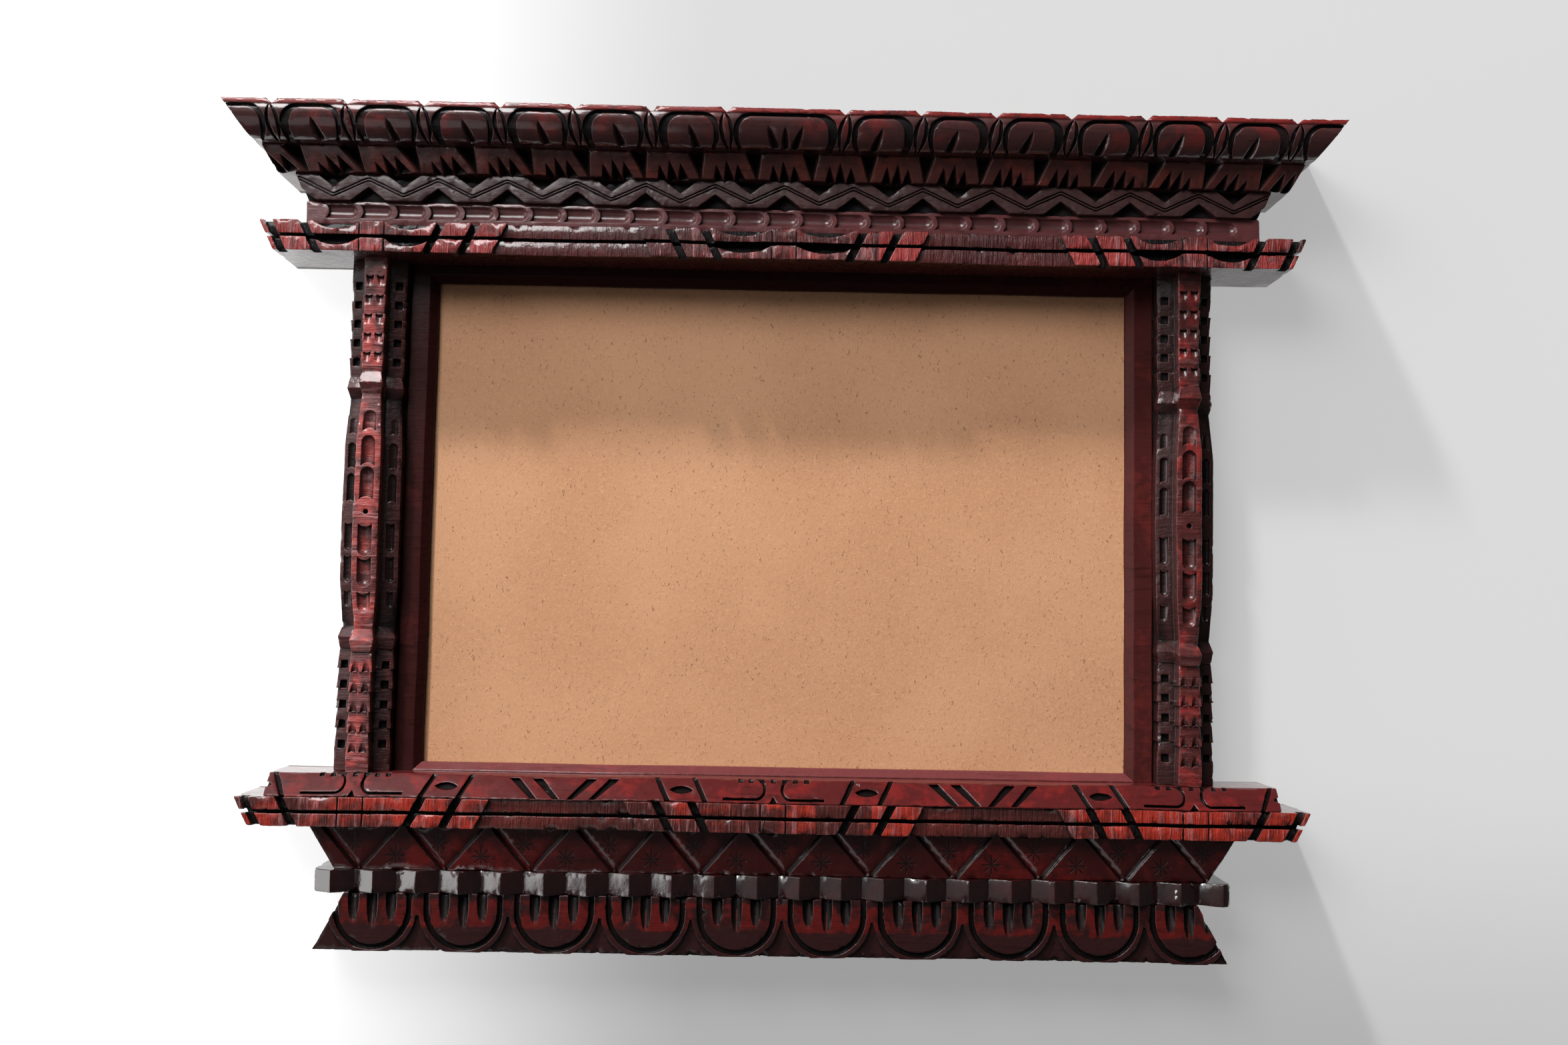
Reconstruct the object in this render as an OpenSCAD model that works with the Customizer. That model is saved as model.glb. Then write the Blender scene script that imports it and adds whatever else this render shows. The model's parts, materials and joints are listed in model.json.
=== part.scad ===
// Carved wooden window frame used as a picture frame.
// x runs across the frame, z runs up and the face looks towards -y.
// The wall plane is y = 0 and the origin is the middle of the lintel's back face.

/* [Opening] */
// Width of the visible board
opening_w = 290; // [240:1:340]
// Height of the visible board
opening_h = 200; // [170:1:260]
// Width of the inner frame beside the opening
side_reveal = 10.5; // [9:0.5:14]
// Height of the inner frame above the opening
top_reveal = 7; // [6:0.5:12]
// Height of the inner frame below the opening
bottom_reveal = 3.4; // [3.2:0.1:8]
// Width of the sloped facet next to the board
facet_w = 3; // [2:0.5:4]

/* [Depths from the wall] */
// Gap left behind the board and the posts for the hardware
back_recess = 3; // [3:0.25:5]
// Thickness of the backing board
board_t = 3; // [2:0.25:4]
// Thickness of the thin lip in front of the board
lip_t = 2; // [1.5:0.25:3]
// Front of the inner frame
inner_front = 11; // [10:0.25:13]
// Front of the wide part of a post
post_front = 18; // [15:0.5:20]
// How far the narrow column of a post stands proud
column_proud = 6; // [4:0.5:7]
// Front of the two-rail beams
beam_front = 32; // [30:0.5:38]
// Front of the bead band
bead_front = 26; // [24:0.5:28]
// Front of the zigzag band
zigzag_front = 28.5; // [27:0.5:30]
// Front of the leaf band at its foot
leaf_foot_front = 30.7; // [30:0.1:32]
// Front of the leaf band at its top
leaf_top_front = 37; // [35:0.5:40]
// Front of the crown band at its top
crown_front = 48; // [46:0.5:52]
// Front of the sill moulding at its top edge
sill_top_front = 25.5; // [25:0.5:27]
// Front of the sill moulding at its foot
sill_foot_front = 31; // [29:0.5:31.5]
// Front of the frieze panel
frieze_front = 24; // [20:0.5:26]
// Front of the ridges of the dentil beam
dentil_front = 28; // [26:0.5:31]
// Front of the apron band
apron_front = 25; // [20:0.5:27]

/* [Heights] */
// Height of the lintel
lintel_h = 12.5; // [11:0.5:16]
// Height of the bead band
bead_h = 9.5; // [9:0.5:12]
// Height of the zigzag band
zigzag_h = 11; // [10:0.5:14]
// Height of the leaf band
leaf_h = 9.5; // [9:0.5:12]
// Height of the crown band
crown_h = 14.5; // [13:0.5:17]
// Height of the sill moulding
sill_h = 8.8; // [8:0.1:10]
// Height of the sill beam
sill_beam_h = 11.5; // [11:0.5:16]
// Height of the frieze panel
frieze_h = 17.5; // [15:0.5:22]
// Height of the dentil beam
dentil_h = 9; // [7:0.5:12]
// Height of the apron band
apron_h = 23; // [20:0.5:28]

/* [Lengths beyond the opening on each side] */
// Crown band at its top
crown_over = 80; // [78:0.5:90]
// Leaf band at its top
leaf_over = 67; // [64:0.5:70]
// Zigzag band at its top
zigzag_over = 55.5; // [52:0.5:58]
// Bead band
bead_over = 51; // [46:0.5:51]
// Lintel and sill beam at their top
beam_over = 68.5; // [64:0.5:70]
// Sill moulding
sill_over = 57; // [52:0.5:60]
// Frieze panel at its top
frieze_over = 41; // [36:0.5:44]
// Dentil beam
dentil_over = 37.5; // [34:0.5:42]
// Apron band at its foot
apron_over = 37.5; // [36:0.5:44]
// How much shorter the beams are at their foot
beam_slant = 6; // [3:0.5:7]

/* [Posts] */
// Width of a post
post_w = 24; // [22:0.5:26]
// Width of its narrow front column
column_w = 10.5; // [9:0.5:12]
// Height of the plain block at each end of a post
post_block_h = 8; // [6:0.5:10]
// Height of one small carved cell
cell_h = 8; // [7:0.25:9]
// Number of cells between the block and the collar
cell_count = 5; // [3:1:5]
// Height of a collar
collar_h = 9; // [7:0.5:10]
// Length of a post's tenon
tenon_l = 5; // [4:0.5:6]
// Size of a tenon across the post
tenon_w = 12; // [8:0.5:16]
// Thickness of a tenon
tenon_t = 7; // [5:0.5:8]

/* [Carving] */
// Depth of the arched grooves in the crown
arch_groove_t = 1.6; // [0.8:0.1:2]
// Pitch of the crown's petals
petal_pitch = 30.1; // [27:0.1:30.5]
// Width of the wide middle petal
middle_petal_w = 47.3; // [40:0.1:50]
// Pitch of the leaves
leaf_pitch = 22.9; // [21:0.1:25]
// Number of leaves
leaf_count = 17; // [15:2:17]
// Pitch of the zigzag
zigzag_pitch = 28.4; // [24:0.1:30]
// Depth of the dark triangles above and below the zigzag
zigzag_recess = 4; // [2:0.5:5]
// Pitch of the gouged beads
bead_pitch = 13.9; // [12:0.1:16]
// Height of the slot between the two rails of a beam
slot_h = 1.3; // [1:0.1:2]
// Depth of that slot
slot_t = 7; // [4:0.5:8]
// How far the raised blocks of a beam stand proud of its plain rails
block_proud = 2; // [1:0.25:2.5]
// Number of down-pointing triangles in the frieze
frieze_count = 11; // [9:2:13]
// Pitch of those triangles
frieze_pitch = 34; // [30:0.1:34]
// Sideways shift of those triangles
frieze_shift = 4.8; // [0:0.1:5]
// Pitch of the dentils
dentil_pitch = 16.9; // [14:0.1:18]
// Sideways shift of the dentils
dentil_shift = 2.3; // [0:0.1:3]
// Depth of the dentils
dentil_t = 4.6; // [3:0.1:5]
// Number of U-shaped petals in the apron
apron_count = 10; // [8:2:10]
// Pitch of those petals
apron_pitch = 36.2; // [32:0.1:37]
// Sideways shift of those petals
apron_shift = 4; // [0:0.1:4]

/* [Pegs and hardware] */
// Diameter of the wooden pegs that join the stacked strips
peg_d = 5; // [4:0.5:6]
// Distance of the outer pegs from the middle
peg_x = 150; // [120:5:155]
// Thickness of a turn button
button_t = 1; // [0.8:0.1:1.2]
// Width of a turn button
button_w = 7; // [5:0.25:7.5]
// Reach of a turn button from its screw
button_reach = 15; // [12:0.5:18]
// Height of the turn buttons from the middle of the opening
button_z = 62; // [40:1:75]
// Shank diameter of the small screws
screw_d = 2.4; // [2:0.1:2.6]
// Head diameter of the small screws
screw_head_d = 4.6; // [4:0.1:5]
// Thickness of a hanger strap
strap_t = 0.6; // [0.5:0.05:0.7]
// Width of a hanger strap
strap_w = 8; // [7:0.5:9]
// Length of the flat of a hanger strap
strap_l = 27; // [26:0.5:30]
// Wire diameter of a hanger ring
ring_d = 1.2; // [1:0.05:1.3]
// Radius of a hanger ring to the middle of its wire
ring_r = 8; // [7:0.25:8.5]
// Distance of a hanger's hinge below the lintel
hanger_drop = 26; // [24:1:60]

/* [Hidden] */
$fn = 48;

// Clearances
joint_gap = 0.1;    // between a tenon, peg or board and the hole it sits in
turn_gap = 0.05;    // round a turn button's screw and a hanger ring's wire
plate_gap = 0.2;    // between a turning plate and what it lies on
over = 0.1;         // how far a cut runs past the face it opens
far = 60;           // longer than any depth
run_on = 1.15;      // how much longer a pointed chip's cut is than the chip

// Colours
dark_lacquer = [0.17, 0.05, 0.045];
red_lacquer = [0.30, 0.07, 0.06];
bare_wood = [0.55, 0.38, 0.24];
board_tan = [0.66, 0.47, 0.33];
steel = [0.72, 0.73, 0.74];
brass = [0.72, 0.58, 0.30];

// Heights, from the middle of the lintel
lintel_top = lintel_h / 2;
lintel_foot = -lintel_h / 2;
bead_top = lintel_top + bead_h;
zigzag_top = bead_top + zigzag_h;
leaf_top = zigzag_top + leaf_h;
crown_top = leaf_top + crown_h;
opening_top = lintel_foot - top_reveal;
opening_foot = opening_top - opening_h;
opening_mid = (opening_top + opening_foot) / 2;
sill_top = opening_foot - bottom_reveal;
sill_foot = sill_top - sill_h;
sill_beam_foot = sill_foot - sill_beam_h;
frieze_foot = sill_beam_foot - frieze_h;
dentil_foot = frieze_foot - dentil_h;
apron_foot = dentil_foot - apron_h;

// Half lengths
half_w = opening_w / 2;
post_x = half_w + side_reveal + post_w / 2;
crown_half = half_w + crown_over;
leaf_half = half_w + leaf_over;
zigzag_half = half_w + zigzag_over;
bead_half = half_w + bead_over;
beam_half = half_w + beam_over;
sill_half = half_w + sill_over;
frieze_half = half_w + frieze_over;
dentil_half = half_w + dentil_over;
apron_half = half_w + apron_over;

// Inner frame and board
board_lap = 2;
rebate_w = board_lap + 0.4;
board_back = back_recess;
board_front = back_recess + board_t;
lip_back = board_front + joint_gap;
lip_front = lip_back + lip_t;

// Posts
post_h = lintel_foot - sill_top;
column_front = post_front + column_proud;
tenon_mid = (back_recess + post_front) / 2;
cell_taper = 0.6;
cell_inset = 0.6;
collar_flare = 0.9;
collar_side_flare = 0.2;
collar_slope = 0.9;
collar_peak = 0.48;
collar_neck = 1.5;
body_taper = 0.1;
taper_start = 0.6;
flank_drop = 1.3;
post_lip_w = 4;
body_half_h = post_h / 2 - post_block_h - cell_count * cell_h - collar_h;

// Pegs
peg_y = 13;
peg_bite = 6;
sill_peg_bite = 5;

// Hardware
hanger_screw_depth = 12;
button_screw_bite = 5.5;
pilot_spare = 0.5;
button_x = half_w + rebate_w + (side_reveal - rebate_w) / 2;
button_back = back_recess - plate_gap;
screw_head_t = 1;
screw_slot_w = 0.7;
screw_slot_t = 0.4;
knuckle_clear = 0.25;
knuckle_side = 0.5;
ring_to_screw = 2.2;
hanger_screw_step = 8;
hinge_z = lintel_foot - hanger_drop;
knuckle_r = ring_d / 2 + turn_gap + strap_t;
hinge_y = back_recess - knuckle_r - knuckle_clear;
hanger_screw_1 = ring_r + ring_d / 2 + screw_head_d / 2 + ring_to_screw;
hanger_screw_2 = hanger_screw_1 + hanger_screw_step;
knuckle_l = strap_w - 2 * knuckle_side;

// Solid between two depths from the wall, from a flat shape drawn in x and z
module between(front, back = 0) {
    translate([0, -back, 0]) rotate([90, 0, 0]) linear_extrude(front - back) children();
}

// Bar along x whose section is drawn as points of depth and height
module bar(half, section) {
    translate([-half, 0, 0])
        rotate([90, 0, 90])
            linear_extrude(2 * half)
                polygon([for (p = section) [-p[0], p[1]]]);
}

// Symmetrical trapezoid in x and z
module trapezoid(half_top, half_foot, top, foot) {
    polygon([[-half_top, top], [half_top, top], [half_foot, foot], [-half_foot, foot]]);
}

// Same child on the left and on the right
module both_sides() {
    children();
    mirror([1, 0, 0]) children();
}

module both_sides_2d() {
    children();
    mirror([1, 0]) children();
}

// Pointed chip cut into a face at y = 0: its tip is at the origin and it widens and deepens downwards
module dart(l, w, t) {
    out = far / 8;
    spread = w / (2 * t) * out;
    rotate([atan(t / l), 0, 0])
        translate([0, 0, -l * run_on])
            linear_extrude(l * run_on)
                polygon([[0, 0], [spread, -out], [-spread, -out]]);
}

// Scoop left by a gouge in a face at y = 0: deepest at its curved stop cut at the origin,
// it runs out at the face at a distance l along +x
module scoop(l, w, t) {
    r = (w * w / 4 + t * t) / (2 * t);
    stop_r = 0.62 * w;
    difference() {
        translate([-0.3 * w, -(r - t) + 0.3 * w * t / l, 0])
            rotate([0, 0, -atan(t / l)])
                rotate([0, 90, 0])
                    cylinder(r = r, h = l * 1.12 + 0.3 * w);
        translate([-stop_r, 0, 0]) rotate([90, 0, 0]) cylinder(r = stop_r, h = 4 * r, center = true);
    }
}

// Blunt scoop with a round far end, of even depth
module blunt_scoop(l, w, t) {
    r = (w * w / 4 + t * t) / (2 * t);
    stop_r = 0.62 * w;
    difference() {
        translate([0, -(r - t), 0]) {
            translate([-0.3 * w, 0, 0]) rotate([0, 90, 0]) cylinder(r = r, h = l - w / 2 + 0.3 * w);
            translate([l - w / 2, 0, 0]) sphere(r);
        }
        translate([-stop_r, 0, 0]) rotate([90, 0, 0]) cylinder(r = stop_r, h = 4 * r, center = true);
    }
}

// Pointed oval in x and z
module lens_2d(w, h) {
    r = (h * h + w * w) / (4 * w);
    intersection() {
        translate([r - w / 2, 0]) circle(r);
        translate([w / 2 - r, 0]) circle(r);
    }
}

// Straight groove in a face at y = 0 from one x,z point to another, deep along one edge
// and rising to the face at the other
module ramp_groove(p, q, w, t) {
    l = norm(q - p);
    angle = atan2(q[1] - p[1], q[0] - p[0]);
    translate([p[0], 0, p[1]])
        rotate([0, -angle, 0])
            rotate([90, 0, 90])
                linear_extrude(l)
                    polygon([[-over, -w / 2], [t, -w / 2], [0, w / 2], [-over, w / 2]]);
}

// Holes for the wooden pegs through one of the stacked strips
module peg_holes(foot, top) {
    for (x = [-peg_x, 0, peg_x])
        translate([x, -peg_y, foot]) cylinder(d = peg_d + 2 * joint_gap, h = top - foot);
}

// Crown band
crown_round_r = 13.5;
crown_round_z = crown_top - 3;
crown_end_run = 11;
notch_w = 4.6;
notch_h = 2;
notch_run = 9;
arch_w = 24.4;
arch_inset = 2;
arch_side_line = 2.8;
arch_shift = 0.7;
arch_top_line = 1.5;
arch_r = 7.2;
arch_sink = 2.5;
bud_w = 5.6;
bud_core_w = 2.6;
bud_tilt = 10;
petals_per_side = 6;
petal_dart_l = 7.6;
petal_dart_over = 1.5;
petal_dart_w = 4.4;
petal_dart_t = 2.8;
petal_dart_step = 7;
petal_dart_tilt = 18;

crown_chip_slope = 33;
bud_h = crown_h - notch_h;
bud_sink = 1;
bud_l = bud_h + bud_sink;

function petal_x(i) = middle_petal_w / 2 + petal_pitch * (i + 0.5);
function notch_x(i) = middle_petal_w / 2 + petal_pitch * i;

module crown_round(inset) {
    translate([-crown_half - over, -(crown_front - crown_round_r), crown_round_z])
        rotate([0, 90, 0])
            cylinder(r = crown_round_r - inset, h = 2 * crown_half + 2 * over, $fn = 96);
}

// Rounded shape of a petal, whose foot runs out below the band
module arch_2d(w, top, r) {
    foot = leaf_top - arch_sink;
    translate([-w / 2, foot + r]) square([w, top - foot - 2 * r]);
    translate([-w / 2 + r, foot]) square([w - 2 * r, top - foot]);
    for (s = [-1, 1]) for (z = [foot + r, top - r]) translate([s * (w / 2 - r), z]) circle(r);
}

module arch_line_2d(w) {
    difference() {
        arch_2d(w, crown_top - arch_inset, arch_r);
        translate([-arch_shift, 0])
            arch_2d(w - 2 * arch_side_line, crown_top - arch_inset - arch_top_line, arch_r - arch_top_line);
    }
}

module crown_chip(x) {
    drop = crown_round_z - leaf_top - petal_dart_l;
    set_back = crown_round_r - sqrt(crown_round_r * crown_round_r - drop * drop);
    translate([x, -(crown_front - set_back), leaf_top + petal_dart_l])
        rotate([crown_chip_slope, 0, 0]) rotate([0, sign(x) * petal_dart_tilt, 0])
            dart(petal_dart_l + petal_dart_over, petal_dart_w, petal_dart_t);
}

module crown_band() {
    core_front = crown_front - crown_round_r;
    color(red_lacquer) difference() {
        intersection() {
            union() {
                crown_round(0);
                between(core_front) translate([-crown_half, leaf_top]) square([2 * crown_half, crown_h]);
            }
            between(far) trapezoid(crown_half, crown_half - crown_end_run, crown_top, leaf_top);
        }
        // Arched lines round each petal and the slim buds between them
        difference() {
            between(far, core_front) {
                arch_line_2d(middle_petal_w - petal_pitch + arch_w);
                both_sides_2d() for (i = [0 : petals_per_side]) {
                    translate([petal_x(i), 0]) arch_line_2d(arch_w);
                    translate([notch_x(i), leaf_top + (bud_h - bud_sink) / 2])
                        rotate(-bud_tilt)
                            difference() {
                                lens_2d(bud_w, bud_l);
                                lens_2d(bud_core_w, bud_l);
                            }
                }
            }
            crown_round(arch_groove_t);
        }
        // Notches in the top edge
        both_sides() for (i = [0 : petals_per_side]) translate([notch_x(i), 0, 0])
            between(crown_front + over, crown_front - notch_run)
                polygon([[-notch_w / 2, crown_top + over], [notch_w / 2, crown_top + over],
                    [0, crown_top - notch_h]]);
        // Pointed chips at the foot of each petal
        for (x = petal_dart_step * [-1, 0, 1]) crown_chip(x);
        for (s = [-1, 1]) for (i = [0 : petals_per_side - 1]) crown_chip(s * petal_x(i));
        peg_holes(leaf_top - over, leaf_top + peg_bite);
    }
}

// Leaf band
leaf_end_run = 4.5;
leaf_gap_w = 7.6;
leaf_gap_t = 5.6;
leaf_gap_l = 12.5;
leaf_dart_l = [7, 8.6, 6.2];
leaf_dart_step = 4.3;
leaf_dart_w = 5.4;
leaf_dart_t = 4;
leaf_lean = 5;
leaf_turn = 2.5;
leaf_rim = 0.8;
leaf_gap_over = 0.5;
leaf_dart_over = 0.8;

// Puts a cut on the sloping face at n leaf pitches from the middle
module leaf_place(n, slope) {
    translate([n * leaf_pitch, -leaf_foot_front, zigzag_top])
        rotate([slope, 0, 0]) rotate([0, leaf_turn * n - leaf_lean, 0]) children();
}

module leaf_band() {
    slope = atan((leaf_top_front - leaf_foot_front) / leaf_h);
    color(red_lacquer) difference() {
        intersection() {
            bar(leaf_half, [[0, zigzag_top], [leaf_foot_front, zigzag_top],
                [leaf_top_front - leaf_rim, leaf_top - leaf_rim], [leaf_top_front - leaf_rim, leaf_top],
                [0, leaf_top]]);
            between(far) trapezoid(leaf_half, leaf_half - leaf_end_run, leaf_top, zigzag_top);
        }
        // Deep wedges between the leaves, leaning like the leaves
        for (i = [0 : leaf_count]) leaf_place(i - leaf_count / 2, slope)
            translate([0, 0, leaf_h + leaf_gap_over - leaf_gap_l])
                mirror([0, 0, 1]) dart(leaf_gap_l, leaf_gap_w, leaf_gap_t);
        // Three pointed chips rising from the foot of each leaf, two on the end pieces
        for (i = [-1 : leaf_count]) leaf_place(i - (leaf_count - 1) / 2, slope)
            for (k = i < 0 ? [1, 2] : i == leaf_count ? [0, 1] : [0, 1, 2])
                translate([(k - 1) * leaf_dart_step, 0, leaf_dart_l[k]])
                    dart(leaf_dart_l[k] + leaf_dart_over, leaf_dart_w, leaf_dart_t);
        peg_holes(zigzag_top - over, leaf_top + over);
    }
}

// Zigzag band
zigzag_end_run = 5;
zigzag_chip_w = 14.5;
zigzag_chip_h = 5.4;
ribbon_h = 4.6;
ribbon_outer_line = 1.7;
ribbon_inner_line = 0.6;
ribbon_line_t = 0.8;
ribbon_flat = 0.4;

function zigzag_points(offset_z) = let (n = ceil(zigzag_half / zigzag_pitch) * 2)
    [for (i = [-n : n]) for (s = [-1, 1]) [i * zigzag_pitch / 2 + s * ribbon_flat,
        (bead_top + zigzag_top) / 2 + (i % 2 == 0 ? 1 : -1) * (zigzag_h - ribbon_h) / 2 + offset_z]];

module ribbon_2d(h) {
    upper = zigzag_points(h / 2);
    lower = zigzag_points(-h / 2);
    polygon(concat(upper, [for (i = [len(lower) - 1 : -1 : 0]) lower[i]]));
}

module zigzag_band() {
    n = ceil(zigzag_half / zigzag_pitch);
    color(dark_lacquer) difference() {
        between(zigzag_front) trapezoid(zigzag_half, zigzag_half - zigzag_end_run, zigzag_top, bead_top);
        // Dark triangles, pointing down from the top edge and up from the foot
        for (i = [-n : n]) between(zigzag_front + over, zigzag_front - zigzag_recess) {
            translate([(i + 0.5) * zigzag_pitch, zigzag_top])
                polygon([[-zigzag_chip_w / 2, over], [zigzag_chip_w / 2, over], [0, -zigzag_chip_h]]);
            translate([i * zigzag_pitch, bead_top])
                polygon([[-zigzag_chip_w / 2, -over], [zigzag_chip_w / 2, -over], [0, zigzag_chip_h]]);
        }
        // Two fine lines that follow the ribbon between the triangles
        between(zigzag_front + over, zigzag_front - ribbon_line_t) difference() {
            ribbon_2d(ribbon_outer_line);
            ribbon_2d(ribbon_inner_line);
        }
        peg_holes(bead_top - over, zigzag_top + over);
    }
}

// Bead band
bead_scoop_l = 11.6;
bead_scoop_w = 5.6;
bead_scoop_t = 1.7;
bead_shift = 1;
bead_rise = 0.6;
bead_margin = 3;

module bead_band() {
    n = floor(2 * (bead_half - bead_margin) / bead_pitch);
    first = bead_shift - n / 2 * bead_pitch;
    color(dark_lacquer) difference() {
        between(bead_front) translate([-bead_half, lintel_top]) square([2 * bead_half, bead_h]);
        for (i = [0 : n - 1])
            translate([first + i * bead_pitch, -bead_front, lintel_top + bead_h / 2 + bead_rise])
                blunt_scoop(bead_scoop_l, bead_scoop_w, bead_scoop_t);
        peg_holes(lintel_top - over, bead_top + over);
    }
}

// Two-rail beam, used for the lintel and for the sill beam
lean = 6;
block_gap = 3.4;
block_gap_t = 2;
trapezoid_half = 31;
post_trapezoid_half = 26.5;
block_l = 10.8;
centre_block = 9.5;
centre_line = 0.5;
centre_line_t = 0.8;
crescent_sag = 3.2;
crescent_t = 5;
crescent_margin = 2.5;
crescent_gap = 0.2;

// Leaning block on the right of a group, from its inner to its outer edge at the top
module lean_block(inner, outer, top, foot) {
    polygon([[inner, top], [outer, top], [outer - lean, foot], [inner - lean, foot]]);
}

// Inner edge of block k beside a trapezoid, at the top
function block_x(half, k) = half + k * block_gap + (k - 1) * block_l;

// Raised blocks of one group with the middle at x = 0
module block_group(half, inner_blocks, outer_blocks, top, foot) {
    trapezoid(half, half - lean, top, foot);
    for (k = [1 : 1 : inner_blocks])
        lean_block(block_x(half, k), block_x(half, k) + block_l, top, foot);
    mirror([1, 0]) for (k = [1 : 1 : outer_blocks])
        lean_block(block_x(half, k), block_x(half, k) + block_l, top, foot);
}

// Narrow slanting gaps that part the blocks of one group
module gap_group(half, inner_blocks, outer_blocks, top, foot) {
    for (k = [1 : 1 : inner_blocks])
        lean_block(block_x(half, k) - block_gap, block_x(half, k), top, foot);
    mirror([1, 0]) for (k = [1 : 1 : outer_blocks])
        lean_block(block_x(half, k) - block_gap, block_x(half, k), top, foot);
}

// Hollows that leave the centre block of one rail standing between two thin wings
module crescents(half, rail_top) {
    crescent_w = half - centre_block / 2 - crescent_margin;
    crescent_x = (centre_block + crescent_w) / 2 + crescent_gap;
    r = (crescent_w * crescent_w / 4 + crescent_sag * crescent_sag) / (2 * crescent_sag);
    for (s = [-1, 1]) intersection() {
        translate([s * crescent_x, crescent_t - beam_front, rail_top + r - crescent_sag])
            rotate([90, 0, 0]) cylinder(r = r, h = crescent_t + over, $fn = 96);
        translate([-half, -beam_front - 1, rail_top - 2 * crescent_sag])
            cube([2 * half, crescent_t + 2, 2 * crescent_sag + slot_h / 2]);
    }
}

module two_rail_beam(top, foot, with_crescents) {
    plain = beam_front - block_proud;
    rail_h = (top - foot - slot_h) / 2;
    difference() {
        intersection() {
            union() {
                between(plain) translate([-beam_half, foot]) square([2 * beam_half, top - foot]);
                between(beam_front, plain - over) {
                    block_group(trapezoid_half, 2, 2, top, foot);
                    translate([post_x, 0]) block_group(post_trapezoid_half, 3, 2, top, foot);
                    translate([-post_x, 0]) block_group(post_trapezoid_half, 2, 3, top, foot);
                }
            }
            between(far) trapezoid(beam_half, beam_half - beam_slant, top, foot);
        }
        between(beam_front + over, plain - block_gap_t) {
            gap_group(trapezoid_half, 2, 2, top + over, foot - over);
            translate([post_x, 0]) gap_group(post_trapezoid_half, 3, 2, top + over, foot - over);
            translate([-post_x, 0]) gap_group(post_trapezoid_half, 2, 3, top + over, foot - over);
        }
        between(beam_front + over, beam_front - slot_t)
            translate([-beam_half, foot + rail_h]) square([2 * beam_half, slot_h]);
        for (x = [-post_x, 0, post_x]) for (s = [-1, 1])
            between(beam_front + over, beam_front - centre_line_t)
                translate([x + s * (centre_block + centre_line) / 2 - centre_line / 2, foot - over])
                    square([centre_line, top - foot + 2 * over]);
        if (with_crescents) for (z = [top, foot + rail_h]) {
            crescents(trapezoid_half, z);
            for (s = [-1, 1]) translate([s * post_x, 0, 0]) crescents(post_trapezoid_half, z);
        }
    }
}

// Mortises for the two posts
module mortises(foot, l) {
    for (s = [-1, 1])
        translate([s * post_x - tenon_w / 2 - joint_gap, -tenon_mid - tenon_t / 2 - joint_gap, foot])
            cube([tenon_w + 2 * joint_gap, tenon_t + 2 * joint_gap, l]);
}

module lintel() {
    color(red_lacquer) difference() {
        two_rail_beam(lintel_top, lintel_foot, true);
        mortises(lintel_foot - over, tenon_l + joint_gap + over);
        peg_holes(lintel_top - peg_bite, lintel_top + over);
    }
}

module sill_beam() {
    color(red_lacquer) difference() {
        two_rail_beam(sill_foot, sill_beam_foot, false);
        peg_holes(sill_beam_foot - over, sill_foot + over);
    }
}

// Sill moulding: a strip with an inclined carved front that the posts stand on
sill_chamfer = 1;
sill_rim_h = 0.5;
sill_lean = 5;
lotus_half = 33;
lotus_line_t = 1.8;
lotus_slant_w = 2;
lotus_slant_step = 15;
curl_x = 7.2;
curl_rise = 5.2;
curl_r = 4.2;
curl_line_w = 0.9;
curl_line_l = 13;
eye_r = 8.4;
eye_rise = 7;
eye_x = 4;
sill_notch_w = 3.2;
sill_notch_h = 2.6;
tick_count = 7;
tick_pitch = 4.4;
tick_w = 1.8;
tick_h = 1.3;
stroke_count = 2;
stroke_x = 1.5;
stroke_pitch = 9;
stroke_foot_w = 2.5;
stroke_top_w = 4;
stroke_run = 7.5;
stroke_rim = 0.8;

// Slanting line from the top edge to the foot, its outer edge at x = 0 at the top
module slant_2d() {
    polygon([[-lotus_slant_w, sill_top + over], [0, sill_top + over],
        [-sill_lean, sill_foot - over], [-sill_lean - lotus_slant_w, sill_foot - over]]);
}

// Two curved lines that meet above a small notch, between slanting ends
module lotus_2d() {
    mid = (sill_top + sill_foot) / 2;
    both_sides_2d() {
        difference() {
            translate([curl_x, sill_foot + curl_rise]) circle(curl_r);
            translate([curl_x, sill_foot + curl_rise]) circle(curl_r - curl_line_w);
            translate([curl_x, sill_foot]) square([2 * curl_r, 2 * sill_h]);
        }
        translate([curl_x, sill_foot + curl_rise - curl_r]) square([curl_line_l, curl_line_w]);
        translate([lotus_half, 0]) slant_2d();
        translate([lotus_half + lotus_slant_step, 0]) slant_2d();
        // Eye-shaped gouge between the two slants
        intersection() {
            translate([lotus_half + eye_x, mid + eye_rise]) circle(eye_r);
            translate([lotus_half + eye_x, mid - eye_rise]) circle(eye_r);
        }
    }
    polygon([[-sill_notch_w / 2, sill_foot - over], [sill_notch_w / 2, sill_foot - over],
        [0, sill_foot + sill_notch_h]]);
    for (i = [0 : tick_count - 1])
        translate([(i - (tick_count - 1) / 2) * tick_pitch - tick_w / 2, sill_top - tick_h])
            square([tick_w, tick_h + over]);
}

// Long leaf strokes that run together into a V half-way between two lotus groups
module strokes_2d() {
    both_sides_2d() for (k = [0 : stroke_count - 1]) translate([stroke_x + k * stroke_pitch, 0])
        polygon([[0, sill_foot + sill_rim_h], [stroke_foot_w, sill_foot + sill_rim_h],
            [stroke_run + stroke_top_w, sill_top - stroke_rim], [stroke_run, sill_top - stroke_rim]]);
}

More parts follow.
